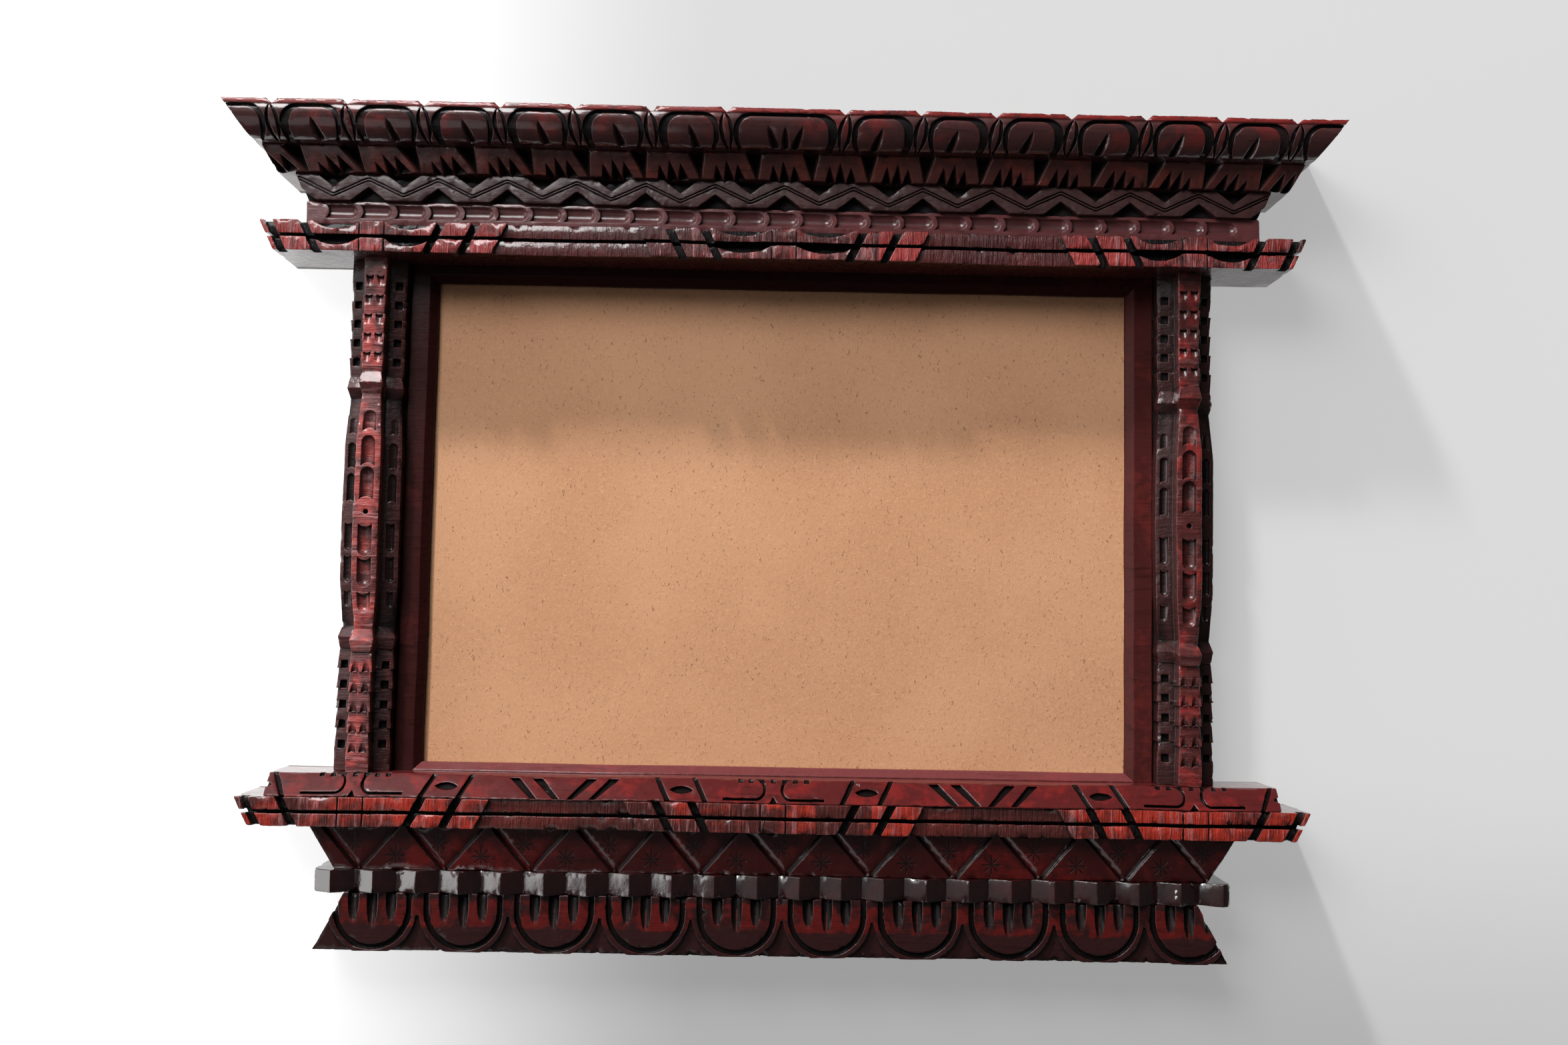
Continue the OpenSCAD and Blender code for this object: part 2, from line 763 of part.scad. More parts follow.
module sill_moulding() {
    rim = sill_top - sill_chamfer;
    core_t = sill_foot_front - lotus_line_t;
    core_top_t = sill_top_front - lotus_line_t;
    section = [[0, sill_foot], [sill_foot_front, sill_foot], [sill_foot_front, sill_foot + sill_rim_h],
        [sill_top_front, rim], [sill_top_front - sill_chamfer, sill_top], [0, sill_top]];
    core = [[-1, sill_foot - 1], [core_t, sill_foot - 1], [core_t, sill_foot + sill_rim_h],
        [core_top_t, rim], [core_top_t, sill_top + 1], [-1, sill_top + 1]];
    color(red_lacquer) difference() {
        bar(sill_half, section);
        difference() {
            between(sill_foot_front + over, sill_top_front - 3 * lotus_line_t) {
                for (x = [-post_x, 0, post_x]) translate([x, 0]) lotus_2d();
                for (s = [-1, 1]) translate([s * post_x / 2, 0]) strokes_2d();
            }
            bar(sill_half + 1, core);
        }
        mortises(sill_top - tenon_l - joint_gap, tenon_l + joint_gap + over);
        peg_holes(sill_foot - over, sill_foot + sill_peg_bite);
    }
}

// Posts
// Outline of one half of the column or of the flanks behind it, from the middle of the post upwards.
// size is half the width, or the depth of the front, and grow is how far the collar stands out.
function post_side(size, inset, grow, drop) = let (
    z0 = body_half_h - drop,
    z1 = z0 + collar_h,
    cell_size = size - inset)
    concat(
        [[size, 0], [size - body_taper, z0 * taper_start], [size - collar_neck, z0],
            [cell_size + grow, z0 + collar_h * collar_peak], [cell_size + grow - collar_slope, z1]],
        [for (i = [0 : cell_count - 1])
            for (p = [[cell_size - cell_taper, z1 + i * cell_h], [cell_size, z1 + (i + 1) * cell_h]]) p],
        [[cell_size, post_h / 2]]);

module post_profile(half, drop) {
    side = post_side(half, cell_inset, collar_side_flare, drop);
    polygon(concat(side, [for (i = [len(side) - 1 : -1 : 0]) [-side[i][0], side[i][1]]]));
}

// Depth outline of the narrow column or of the wide flanks behind it
module post_depth(front, drop) {
    side = post_side(front, 0, collar_flare, drop);
    translate([-post_w, 0, 0]) rotate([90, 0, 90]) linear_extrude(2 * post_w)
        polygon(concat([[-back_recess, 0]], [for (p = side) [-p[0], p[1]]], [[-back_recess, post_h / 2]]));
}

scoop_starts = [6.3, 20, 34.1];
scoop_lengths = [12, 11, 7.5];
post_scoop_w = 5.8;
post_scoop_t = 2.3;
flank_scoop_w = 3.4;
flank_scoop_t = 1.4;
cell_gouge_l = 4.4;
cell_gouge_w = 3;
cell_gouge_t = 1.4;
cell_gouge_x = 2.2;
chip_w = 3;
chip_h = 3.2;
chip_t = 2.6;
chip_rim = 1.6;
chip_x = post_w / 2 - cell_inset - chip_rim - chip_w / 2;
cell_gouge_drop = 0.4;
flank_x = (post_w + column_w) / 4;
prick_r = 1;
prick_t = 3;

// Upper half of a post, with its middle at the origin; the lower half is its mirror image
module half_post() {
    z1 = body_half_h + collar_h;
    difference() {
        union() {
            intersection() {
                between(far, back_recess) post_profile(post_w / 2, flank_drop);
                post_depth(post_front, flank_drop);
            }
            intersection() {
                between(far, back_recess) post_profile(column_w / 2, 0);
                post_depth(column_front, 0);
            }
        }
        for (i = [0 : cell_count - 1]) {
            z = z1 + (i + 1) * cell_h;
            // Pair of small gouges at the upper edge of each cell
            for (s = [-1, 1]) translate([s * cell_gouge_x, -column_front, z - cell_gouge_drop])
                rotate([0, 90, 0]) scoop(cell_gouge_l, cell_gouge_w, cell_gouge_t);
            // Square chips in the flanks beside the column
            for (s = [-1, 1])
                translate([s * chip_x - chip_w / 2, -post_front - over, z - flank_drop - chip_h])
                    cube([chip_w, chip_t, chip_h]);
        }
        // Rows of scoops whose square-cut deep ends face the middle of the post
        for (i = [0 : len(scoop_starts) - 1]) {
            translate([0, -column_front, scoop_starts[i]])
                rotate([0, -90, 0]) blunt_scoop(scoop_lengths[i], post_scoop_w, post_scoop_t);
            for (s = [-1, 1]) translate([s * flank_x, -post_front, scoop_starts[i] - flank_drop])
                rotate([0, -90, 0]) blunt_scoop(scoop_lengths[i] - 1, flank_scoop_w, flank_scoop_t);
        }
    }
}

module post_body() {
    difference() {
        union() {
            half_post();
            mirror([0, 0, 1]) half_post();
            for (z = [post_h / 2 - over, -post_h / 2 - tenon_l])
                translate([-tenon_w / 2, -tenon_mid - tenon_t / 2, z])
                    cube([tenon_w, tenon_t, tenon_l + over]);
        }
        translate([0, -column_front - over, 0])
            rotate([-90, 0, 0])
                cylinder(r = prick_r, h = prick_t + over);
    }
}

// One post; its side towards the opening is plain where it meets the inner frame
module post(side) {
    color(red_lacquer) difference() {
        translate([side * post_x, 0, (lintel_foot + sill_top) / 2]) {
            post_body();
            translate([-side * (post_w - post_lip_w) / 2, -(inner_front + back_recess) / 2, 0])
                cube([post_lip_w, inner_front - back_recess, post_h], center = true);
        }
        for (d = [hanger_screw_1, hanger_screw_2])
            translate([side * post_x, 0, hinge_z - d])
                rotate([90, 0, 0])
                    cylinder(d = screw_d, h = hanger_screw_depth);
    }
}

module left_post() {
    post(-1);
}

module right_post() {
    post(1);
}

// Inner frame
module inner_section(reveal) {
    polygon([[0, -lip_back], [0, -lip_front], [facet_w, -inner_front], [reveal, -inner_front],
        [reveal, -back_recess], [rebate_w, -back_recess], [rebate_w, -lip_back]]);
}

// Rail above the opening, with mitred ends
module rail_top() {
    color(dark_lacquer) intersection() {
        translate([-half_w - side_reveal, 0, opening_top])
            rotate([90, 0, 90])
                linear_extrude(2 * (half_w + side_reveal))
                    mirror([1, -1]) inner_section(top_reveal);
        between(far) trapezoid(half_w + top_reveal, half_w, opening_top + top_reveal, opening_top);
    }
}

module rail_bottom() {
    color(dark_lacquer) intersection() {
        translate([-half_w - side_reveal, 0, opening_foot])
            mirror([0, 0, 1])
                rotate([90, 0, 90])
                    linear_extrude(2 * (half_w + side_reveal))
                        mirror([1, -1]) inner_section(bottom_reveal);
        between(far) trapezoid(half_w, half_w + bottom_reveal, opening_foot, opening_foot - bottom_reveal);
    }
}

module stile_right() {
    color(dark_lacquer) difference() {
        translate([half_w, 0, sill_top]) linear_extrude(lintel_foot - sill_top) inner_section(side_reveal);
        between(far) trapezoid(half_w + top_reveal, half_w, opening_top + top_reveal, opening_top);
        between(far) translate([0, opening_foot])
            trapezoid(half_w, half_w + bottom_reveal, 0, -bottom_reveal);
        for (s = [-1, 1]) translate([button_x, 0, opening_mid + s * button_z])
            rotate([90, 0, 0]) cylinder(d = screw_d, h = back_recess + button_screw_bite + pilot_spare);
    }
}

module stile_left() {
    mirror([1, 0, 0]) stile_right();
}

module backing_board() {
    color(board_tan) between(board_front, board_back)
        translate([-half_w - board_lap, opening_foot - board_lap])
            square([opening_w + 2 * board_lap, opening_h + 2 * board_lap]);
}

// Frieze panel with rows of up and down triangles
frieze_end_run = 11;
frieze_groove_w = 2.7;
frieze_groove_t = 1.6;
frieze_groove_shift = 2.2;
frieze_groove_over = 2;

module frieze_panel() {
    first = frieze_shift - (frieze_count - 1) / 2 * frieze_pitch;
    start = [-frieze_groove_shift, frieze_foot - frieze_groove_over];
    end = [frieze_pitch / 2 - frieze_groove_shift, sill_beam_foot];
    color(red_lacquer) difference() {
        between(frieze_front)
            trapezoid(frieze_half, frieze_half - frieze_end_run, sill_beam_foot, frieze_foot);
        for (i = [0 : frieze_count - 1]) translate([first + i * frieze_pitch, -frieze_front, 0])
            both_sides() ramp_groove(start, end, frieze_groove_w, frieze_groove_t);
        peg_holes(frieze_foot - over, sill_beam_foot + over);
    }
}

// Dentil beam: its front is folded into upright ridges
module dentil_beam() {
    n = ceil(dentil_half / dentil_pitch) + 1;
    ridges = [for (i = [-n : n - 1]) for (p = [[i * dentil_pitch, dentil_t - dentil_front],
        [(i + 0.5) * dentil_pitch, -dentil_front]]) p + [dentil_shift, 0]];
    color(red_lacquer) difference() {
        translate([0, 0, dentil_foot]) linear_extrude(dentil_h) intersection() {
            polygon(concat([[ridges[0][0], 0]], ridges, [[ridges[len(ridges) - 1][0], 0]]));
            square([2 * dentil_half, 2 * far], center = true);
        }
        peg_holes(dentil_foot - over, frieze_foot + over);
    }
}

// Apron band with hanging petals
apron_end_run = 12;
tongue_w = 27.4;
tongue_line = 2;
tongue_line_t = 2;
tongue_foot = 2.6;
flute_step = 7.6;
flute_w = 3.8;
flute_t = 2.9;
flute_l = 11;
middle_flute_l = 13.6;
corner_t = 1.6;
corner_drop = 2;
corner_line = 0.3;

tongue_z = apron_foot + tongue_foot + tongue_w / 2;

function apron_x(i) = apron_shift + (i - apron_count / 2) * apron_pitch;

module tongue_2d(w) {
    translate([0, tongue_z]) circle(w / 2, $fn = 64);
    translate([-w / 2, tongue_z]) square([w, apron_h]);
}

module apron_band() {
    color(red_lacquer) difference() {
        between(apron_front)
            trapezoid(apron_half - apron_end_run, apron_half, dentil_foot, apron_foot);
        for (i = [0 : apron_count - 1]) translate([apron_x(i + 0.5), 0, 0]) {
            between(apron_front + over, apron_front - tongue_line_t) difference() {
                tongue_2d(tongue_w + 2 * tongue_line);
                tongue_2d(tongue_w);
            }
            for (k = [-1 : 1]) translate([k * flute_step, -apron_front, dentil_foot])
                rotate([0, 90, 0]) scoop(k == 0 ? middle_flute_l : flute_l, flute_w, flute_t);
        }
        // Corners between the rims of neighbouring petals
        for (i = [0 : apron_count]) translate([apron_x(i), 0, 0])
            between(apron_front + over, apron_front - corner_t) difference() {
                translate([-apron_pitch / 2, apron_foot - over])
                    square([apron_pitch, tongue_z - apron_foot - corner_drop]);
                both_sides_2d() translate([apron_pitch / 2, tongue_z])
                    circle(apron_pitch / 2 - corner_line, $fn = 64);
            }
        peg_holes(dentil_foot - peg_bite, dentil_foot + over);
    }
}

// Wooden pegs
module cornice_pegs() {
    color(bare_wood) for (x = [-peg_x, 0, peg_x])
        translate([x, -peg_y, lintel_top - peg_bite + joint_gap])
            cylinder(d = peg_d, h = leaf_top - lintel_top + 2 * (peg_bite - joint_gap));
}

module sill_pegs() {
    color(bare_wood) for (x = [-peg_x, 0, peg_x])
        translate([x, -peg_y, dentil_foot - peg_bite + joint_gap])
            cylinder(d = peg_d, h = sill_foot - dentil_foot + peg_bite + sill_peg_bite - 2 * joint_gap);
}

// Turn buttons, pointing in over the board
module turn_button(sx, sz) {
    color(steel) translate([sx * button_x, 0, opening_mid + sz * button_z])
        between(button_back, button_back - button_t) difference() {
            union() {
                circle(button_w / 2);
                translate([sx > 0 ? -button_reach + button_w / 4 : 0, -button_w / 2])
                    square([button_reach - button_w / 4, button_w]);
                translate([-sx * (button_reach - button_w / 4), 0]) intersection() {
                    circle(button_w / 2);
                    translate([-button_w / 4, -button_w]) square([button_w / 2, 2 * button_w]);
                }
            }
            circle(screw_d / 2 + turn_gap);
        }
}

module button_upper_left() {
    turn_button(-1, 1);
}

module button_upper_right() {
    turn_button(1, 1);
}

module button_lower_left() {
    turn_button(-1, -1);
}

module button_lower_right() {
    turn_button(1, -1);
}

// Round-head screw driven towards -y, its head's underside at a given depth
module screw(head_depth, l) {
    translate([0, -head_depth, 0]) {
        rotate([90, 0, 0]) cylinder(d = screw_d, h = l);
        difference() {
            rotate([-90, 0, 0]) cylinder(d = screw_head_d, h = screw_head_t);
            translate([-screw_head_d, screw_head_t - screw_slot_t, -screw_slot_w / 2])
                cube([2 * screw_head_d, 2 * screw_slot_t, screw_slot_w]);
        }
    }
}

module button_screws() {
    color(steel) for (sx = [-1, 1]) for (sz = [-1, 1])
        translate([sx * button_x, 0, opening_mid + sz * button_z])
            screw(button_back - button_t - plate_gap, button_t + 2 * plate_gap + button_screw_bite);
}

// Ring hangers on the backs of the posts
module hanger_strap(x) {
    color(brass) translate([x, 0, hinge_z]) difference() {
        union() {
            between(back_recess, back_recess - strap_t) {
                translate([-strap_w / 2, -strap_l + strap_w / 2]) square([strap_w, strap_l - strap_w / 2]);
                translate([0, -strap_l + strap_w / 2]) circle(strap_w / 2);
            }
            translate([-knuckle_l / 2, -hinge_y, 0])
                rotate([0, 90, 0])
                    cylinder(r = knuckle_r, h = knuckle_l);
        }
        translate([-strap_w, -hinge_y, 0])
            rotate([0, 90, 0])
                cylinder(r = ring_d / 2 + turn_gap, h = 2 * strap_w);
        for (d = [hanger_screw_1, hanger_screw_2])
            translate([0, over, -d])
                rotate([90, 0, 0])
                    cylinder(d = screw_d + 2 * joint_gap, h = 2 * back_recess);
    }
}

module hanger_ring(x) {
    color(brass) translate([x, -hinge_y, hinge_z]) {
        translate([-ring_r, 0, 0]) rotate([0, 90, 0]) cylinder(d = ring_d, h = 2 * ring_r);
        rotate([-90, 0, 0]) rotate_extrude(angle = 180) translate([ring_r, 0]) circle(ring_d / 2);
        for (s = [-1, 1]) translate([s * ring_r, 0, 0]) sphere(d = ring_d);
    }
}

module hanger_strap_left() {
    hanger_strap(-post_x);
}

module hanger_strap_right() {
    hanger_strap(post_x);
}

module hanger_ring_left() {
    hanger_ring(-post_x);
}

module hanger_ring_right() {
    hanger_ring(post_x);
}

module hanger_screws() {
    color(brass) for (x = [-post_x, post_x]) for (d = [hanger_screw_1, hanger_screw_2])
        translate([x, 0, hinge_z - d]) screw(back_recess - strap_t, hanger_screw_depth - back_recess);
}

crown_band();
leaf_band();
zigzag_band();
bead_band();
lintel();
left_post();
right_post();
rail_top();
rail_bottom();
stile_left();
stile_right();
backing_board();
sill_moulding();
sill_beam();
frieze_panel();
dentil_beam();
apron_band();
cornice_pegs();
sill_pegs();
button_upper_left();
button_upper_right();
button_lower_left();
button_lower_right();
button_screws();
hanger_strap_left();
hanger_strap_right();
hanger_ring_left();
hanger_ring_right();
hanger_screws();
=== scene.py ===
"""Carved and lacquered window frame, used as a picture frame, against a pale wall.

x runs across the frame, z runs up and the carved face looks towards -y, in metres. The hand-cut look
comes from re-cutting each carved strip with slightly wandering lines and worn edges, and from the
lacquer, which is thin and red where it is rubbed, with shade painted black into its recesses and
deep cuts and pale glints painted on some fibres.
"""

import json
import logging
import math
from dataclasses import dataclass, field
from enum import Enum
from typing import Optional, Union

import bmesh
import bpy
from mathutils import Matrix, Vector, noise

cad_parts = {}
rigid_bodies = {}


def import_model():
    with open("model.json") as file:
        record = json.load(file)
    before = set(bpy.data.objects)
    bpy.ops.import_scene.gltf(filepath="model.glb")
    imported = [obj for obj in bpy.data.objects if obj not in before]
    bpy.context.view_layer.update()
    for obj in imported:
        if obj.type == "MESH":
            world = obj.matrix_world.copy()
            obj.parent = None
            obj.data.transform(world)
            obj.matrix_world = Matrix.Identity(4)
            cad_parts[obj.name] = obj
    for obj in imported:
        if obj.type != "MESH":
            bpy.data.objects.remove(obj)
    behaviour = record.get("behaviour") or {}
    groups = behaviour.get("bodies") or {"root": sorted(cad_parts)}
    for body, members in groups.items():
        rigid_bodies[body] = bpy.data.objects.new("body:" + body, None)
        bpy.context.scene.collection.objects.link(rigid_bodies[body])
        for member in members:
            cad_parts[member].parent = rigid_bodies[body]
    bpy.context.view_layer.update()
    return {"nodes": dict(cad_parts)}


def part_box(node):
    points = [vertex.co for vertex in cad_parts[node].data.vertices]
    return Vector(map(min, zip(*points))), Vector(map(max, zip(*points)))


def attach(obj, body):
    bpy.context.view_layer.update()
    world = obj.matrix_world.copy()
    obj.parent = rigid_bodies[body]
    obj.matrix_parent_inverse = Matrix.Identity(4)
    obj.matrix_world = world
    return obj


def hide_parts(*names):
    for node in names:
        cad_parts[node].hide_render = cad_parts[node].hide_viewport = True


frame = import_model()
LOG = logging.getLogger("frame")

Colour = tuple[float, float, float]
Triple = tuple[float, float, float]
Pair = tuple[float, float]
Socket = bpy.types.NodeSocket
Term = Union[float, int, tuple, Socket]

WHITE: Colour = (1.0, 1.0, 1.0)


class GrainRun(Enum):
    """Which way the fibres and tool marks of a face run."""

    ACROSS = (0.10, 0.6, 1.0)
    UPRIGHT = (1.0, 0.6, 0.10)


class SliceAxis(Enum):
    """The long direction of a strip, along which it is sliced before it is re-cut."""

    ACROSS = 0
    UPRIGHT = 2


@dataclass(frozen=True)
class Cloud:
    """A kind of noise.

    scale is how fine it is, in cells a metre, detail how many finer layers it has, rough how strong those
    are, and twist how far it is distorted.
    """

    scale: float
    detail: float = 2.0
    rough: float = 0.5
    twist: float = 0.0


FIBRES = Cloud(1500.0, 3.0, 0.6, 0.4)
STREAKS = Cloud(420.0, 3.0, 0.55, 0.8)
MOTTLE = Cloud(260.0, 4.0, 0.62)
THIN_COAT = Cloud(90.0, 3.0, 0.6)
BOARD_DRIFT = Cloud(14.0, 3.0)
BOARD_FUZZ = Cloud(900.0, 4.0, 0.7, 0.3)
BOARD_CHIPS = Cloud(1000.0, 2.0, 0.6, 1.2)
BOARD_HAIRS = Cloud(1200.0, 2.0, 0.5, 1.5)
WOOD_GRAIN = Cloud(1300.0, 4.0, 0.6, 0.6)
ROLLING = Cloud(3200.0)
TARNISH = Cloud(420.0, 4.0, 0.6, 0.6)


class Sheet:
    """A material's or a world's node tree, with short calls for the nodes that the finishes use."""

    def __init__(self, tree: bpy.types.NodeTree) -> None:
        """Starts an empty tree.

        Args:
            tree: the node tree to fill.
        """
        self.tree = tree
        self.tree.nodes.clear()

    @classmethod
    def for_material(cls, name: str) -> "tuple[bpy.types.Material, Sheet]":
        """Makes a material and the sheet of its node tree.

        Args:
            name: the material's name.

        Returns:
            The material and its sheet.
        """
        material = bpy.data.materials.new(name)
        material.use_nodes = True
        return material, cls(material.node_tree)

    def put(self, kind: str, inputs: "dict[Union[str, int], Term]", **settings: object) -> bpy.types.Node:
        """Adds a node.

        Args:
            kind: the node's type, without the leading ShaderNode.
            inputs: what goes into its sockets, by name or number: a value or another node's socket.
            **settings: the node's own settings.

        Returns:
            The new node.
        """
        node = self.tree.nodes.new("ShaderNode" + kind)
        for key, value in settings.items():
            setattr(node, key, value)
        for key, value in inputs.items():
            if isinstance(value, bpy.types.NodeSocket):
                self.tree.links.new(value, node.inputs[key])
            elif isinstance(value, tuple) and len(value) == 3 and node.inputs[key].type == "RGBA":
                node.inputs[key].default_value = (*value, 1.0)
            else:
                node.inputs[key].default_value = value
        return node

    def calc(self, operation: str, *terms: Term, clamp: bool = False) -> Socket:
        """One arithmetic step.

        Args:
            operation: the Math node's operation.
            *terms: its one to three terms.
            clamp: whether the result is kept from 0 to 1.

        Returns:
            The result's socket.
        """
        return self.put("Math", dict(enumerate(terms)), operation=operation, use_clamp=clamp).outputs[0]

    def length(self, first: Term, second: Term) -> Socket:
        """The length of a step of two parts at right angles.

        Args:
            first: one part.
            second: the other part.

        Returns:
            The length's socket.
        """
        squares = self.calc("ADD", self.calc("POWER", first, 2.0), self.calc("POWER", second, 2.0))
        return self.calc("SQRT", squares)

    def dot(self, first: Term, second: Term) -> Socket:
        """The scalar product of two directions.

        Args:
            first: one direction.
            second: the other direction.

        Returns:
            The product's socket.
        """
        return self.put("VectorMath", {0: first, 1: second}, operation="DOT_PRODUCT").outputs["Value"]

    def span(self, value: Term, low: float, high: float, start: float = 0.0, end: float = 1.0) -> Socket:
        """Stretches a value smoothly from one range to another, and keeps it inside.

        Args:
            value: the value.
            low: where the first range starts.
            high: where it ends.
            start: the result at low.
            end: the result at high.

        Returns:
            The result's socket.
        """
        inputs = {0: value, 1: low, 2: high, 3: start, 4: end}
        return self.put("MapRange", inputs, interpolation_type="SMOOTHSTEP").outputs[0]

    def blend(self, share: Term, first: Term, second: Term, way: str = "MIX") -> Socket:
        """Mixes two colours.

        Args:
            share: how much of the second one.
            first: the first colour.
            second: the second colour.
            way: the blending mode.

        Returns:
            The mixed colour's socket.
        """
        node = self.put("Mix", {0: share}, data_type="RGBA", blend_type=way)
        for key, value in ((6, first), (7, second)):
            if isinstance(value, bpy.types.NodeSocket):
                self.tree.links.new(value, node.inputs[key])
            else:
                node.inputs[key].default_value = (*value, 1.0)
        return node.outputs[2]

    def place(self, stretch: Triple = (1.0, 1.0, 1.0), shift: Triple = (0.0, 0.0, 0.0)) -> Socket:
        """The place on the object, stretched and moved.

        Args:
            stretch: the factor on each axis.
            shift: what is added to each axis.

        Returns:
            The place's socket.
        """
        here = self.put("TexCoord", {}).outputs["Object"]
        return self.put("Mapping", {"Vector": here, "Scale": stretch, "Location": shift}).outputs[0]

    def cloud(self, place: Socket, kind: Cloud) -> Socket:
        """A noise value.

        Args:
            place: where it is read.
            kind: the kind of noise.

        Returns:
            The value's socket.
        """
        return self.put("TexNoise", {"Vector": place, "Scale": kind.scale, "Detail": kind.detail,
                                     "Roughness": kind.rough, "Distortion": kind.twist}).outputs[0]

    def bump(self, height: Socket, distance: float, strength: float,
             normal: Optional[Socket] = None) -> Socket:
        """A surface normal shaken by a height.

        Args:
            height: the height value.
            distance: how far a height of 1 stands out, in metres.
            strength: the share of it that is used.
            normal: the normal to start from.

        Returns:
            The new normal's socket.
        """
        inputs: dict[Union[str, int], Term] = {"Height": height, "Distance": distance, "Strength": strength}
        if normal is not None:
            inputs["Normal"] = normal
        return self.put("Bump", inputs).outputs[0]

    def finish(self, surface: Socket) -> None:
        """Sends a shader to the material's output.

        Args:
            surface: the shader's socket.
        """
        self.put("OutputMaterial", {"Surface": surface})


@dataclass(frozen=True)
class PunchRow:
    """Two rows of small star-shaped punch marks on the frieze: one in each triangle.

    The stars of a row are a pitch apart, with one at first, and the rows are at the heights high and low.
    Each star reaches as far as reach, with its rays cut in to the share core of that. half_rays is half
    the number of rays, keen is how narrow they are, and soft is how far their rim is blurred, inwards and
    outwards.
    """

    pitch: float = 0.034
    first: float = 0.0026
    high: float = -0.2438
    low: float = -0.2490
    reach: float = 0.0041
    core: float = 0.22
    half_rays: float = 4.0
    keen: float = 3.0
    soft: Pair = (-0.00015, 0.0004)

    def marks(self, sheet: Sheet) -> Socket:
        """The depth of the punch marks, from 0 to 1.

        Args:
            sheet: the material's node sheet.

        Returns:
            The depth's socket.
        """
        parts = sheet.put("SeparateXYZ", {0: sheet.place()}).outputs
        found = []
        for shift, level in ((0.0, self.high), (self.pitch / 2, self.low)):
            turns = sheet.calc("DIVIDE", sheet.calc("SUBTRACT", parts[0], self.first + shift), self.pitch)
            beside = sheet.calc("SUBTRACT", turns, sheet.calc("ROUND", turns))
            beside = sheet.calc("MULTIPLY", beside, self.pitch)
            above = sheet.calc("SUBTRACT", parts[2], level)
            angle = sheet.calc("MULTIPLY", sheet.calc("ARCTAN2", above, beside), self.half_rays)
            ray = sheet.calc("POWER", sheet.calc("ABSOLUTE", sheet.calc("COSINE", angle)), self.keen)
            rim = sheet.calc("ADD", sheet.calc("MULTIPLY", ray, 1.0 - self.core), self.core)
            rim = sheet.calc("MULTIPLY", rim, self.reach)
            found.append(sheet.span(sheet.calc("SUBTRACT", rim, sheet.length(beside, above)), *self.soft))
        return sheet.calc("MAXIMUM", *found)


@dataclass(frozen=True)
class Face:
    """The uncut front of a strip, flat, leaning or round about an axis, from which depths are taken.

    y is its depth at the height z, and lean is how far it goes back for each unit of height. With a
    radius, y and z are the axis of a round front.
    """

    y: float
    z: float = 0.0
    lean: float = 0.0
    radius: float = 0.0

    def depth(self, sheet: Sheet, at: bpy.types.NodeOutputs) -> Socket:
        """How deep a place lies behind the uncut front.

        Args:
            sheet: the material's node sheet.
            at: the place's three parts.

        Returns:
            The depth's socket, in metres.
        """
        back = sheet.calc("SUBTRACT", at[1], self.y)
        up = sheet.calc("SUBTRACT", at[2], self.z)
        if self.radius:
            return sheet.calc("SUBTRACT", self.radius, sheet.length(back, up))
        return sheet.calc("SUBTRACT", back, sheet.calc("MULTIPLY", up, self.lean))


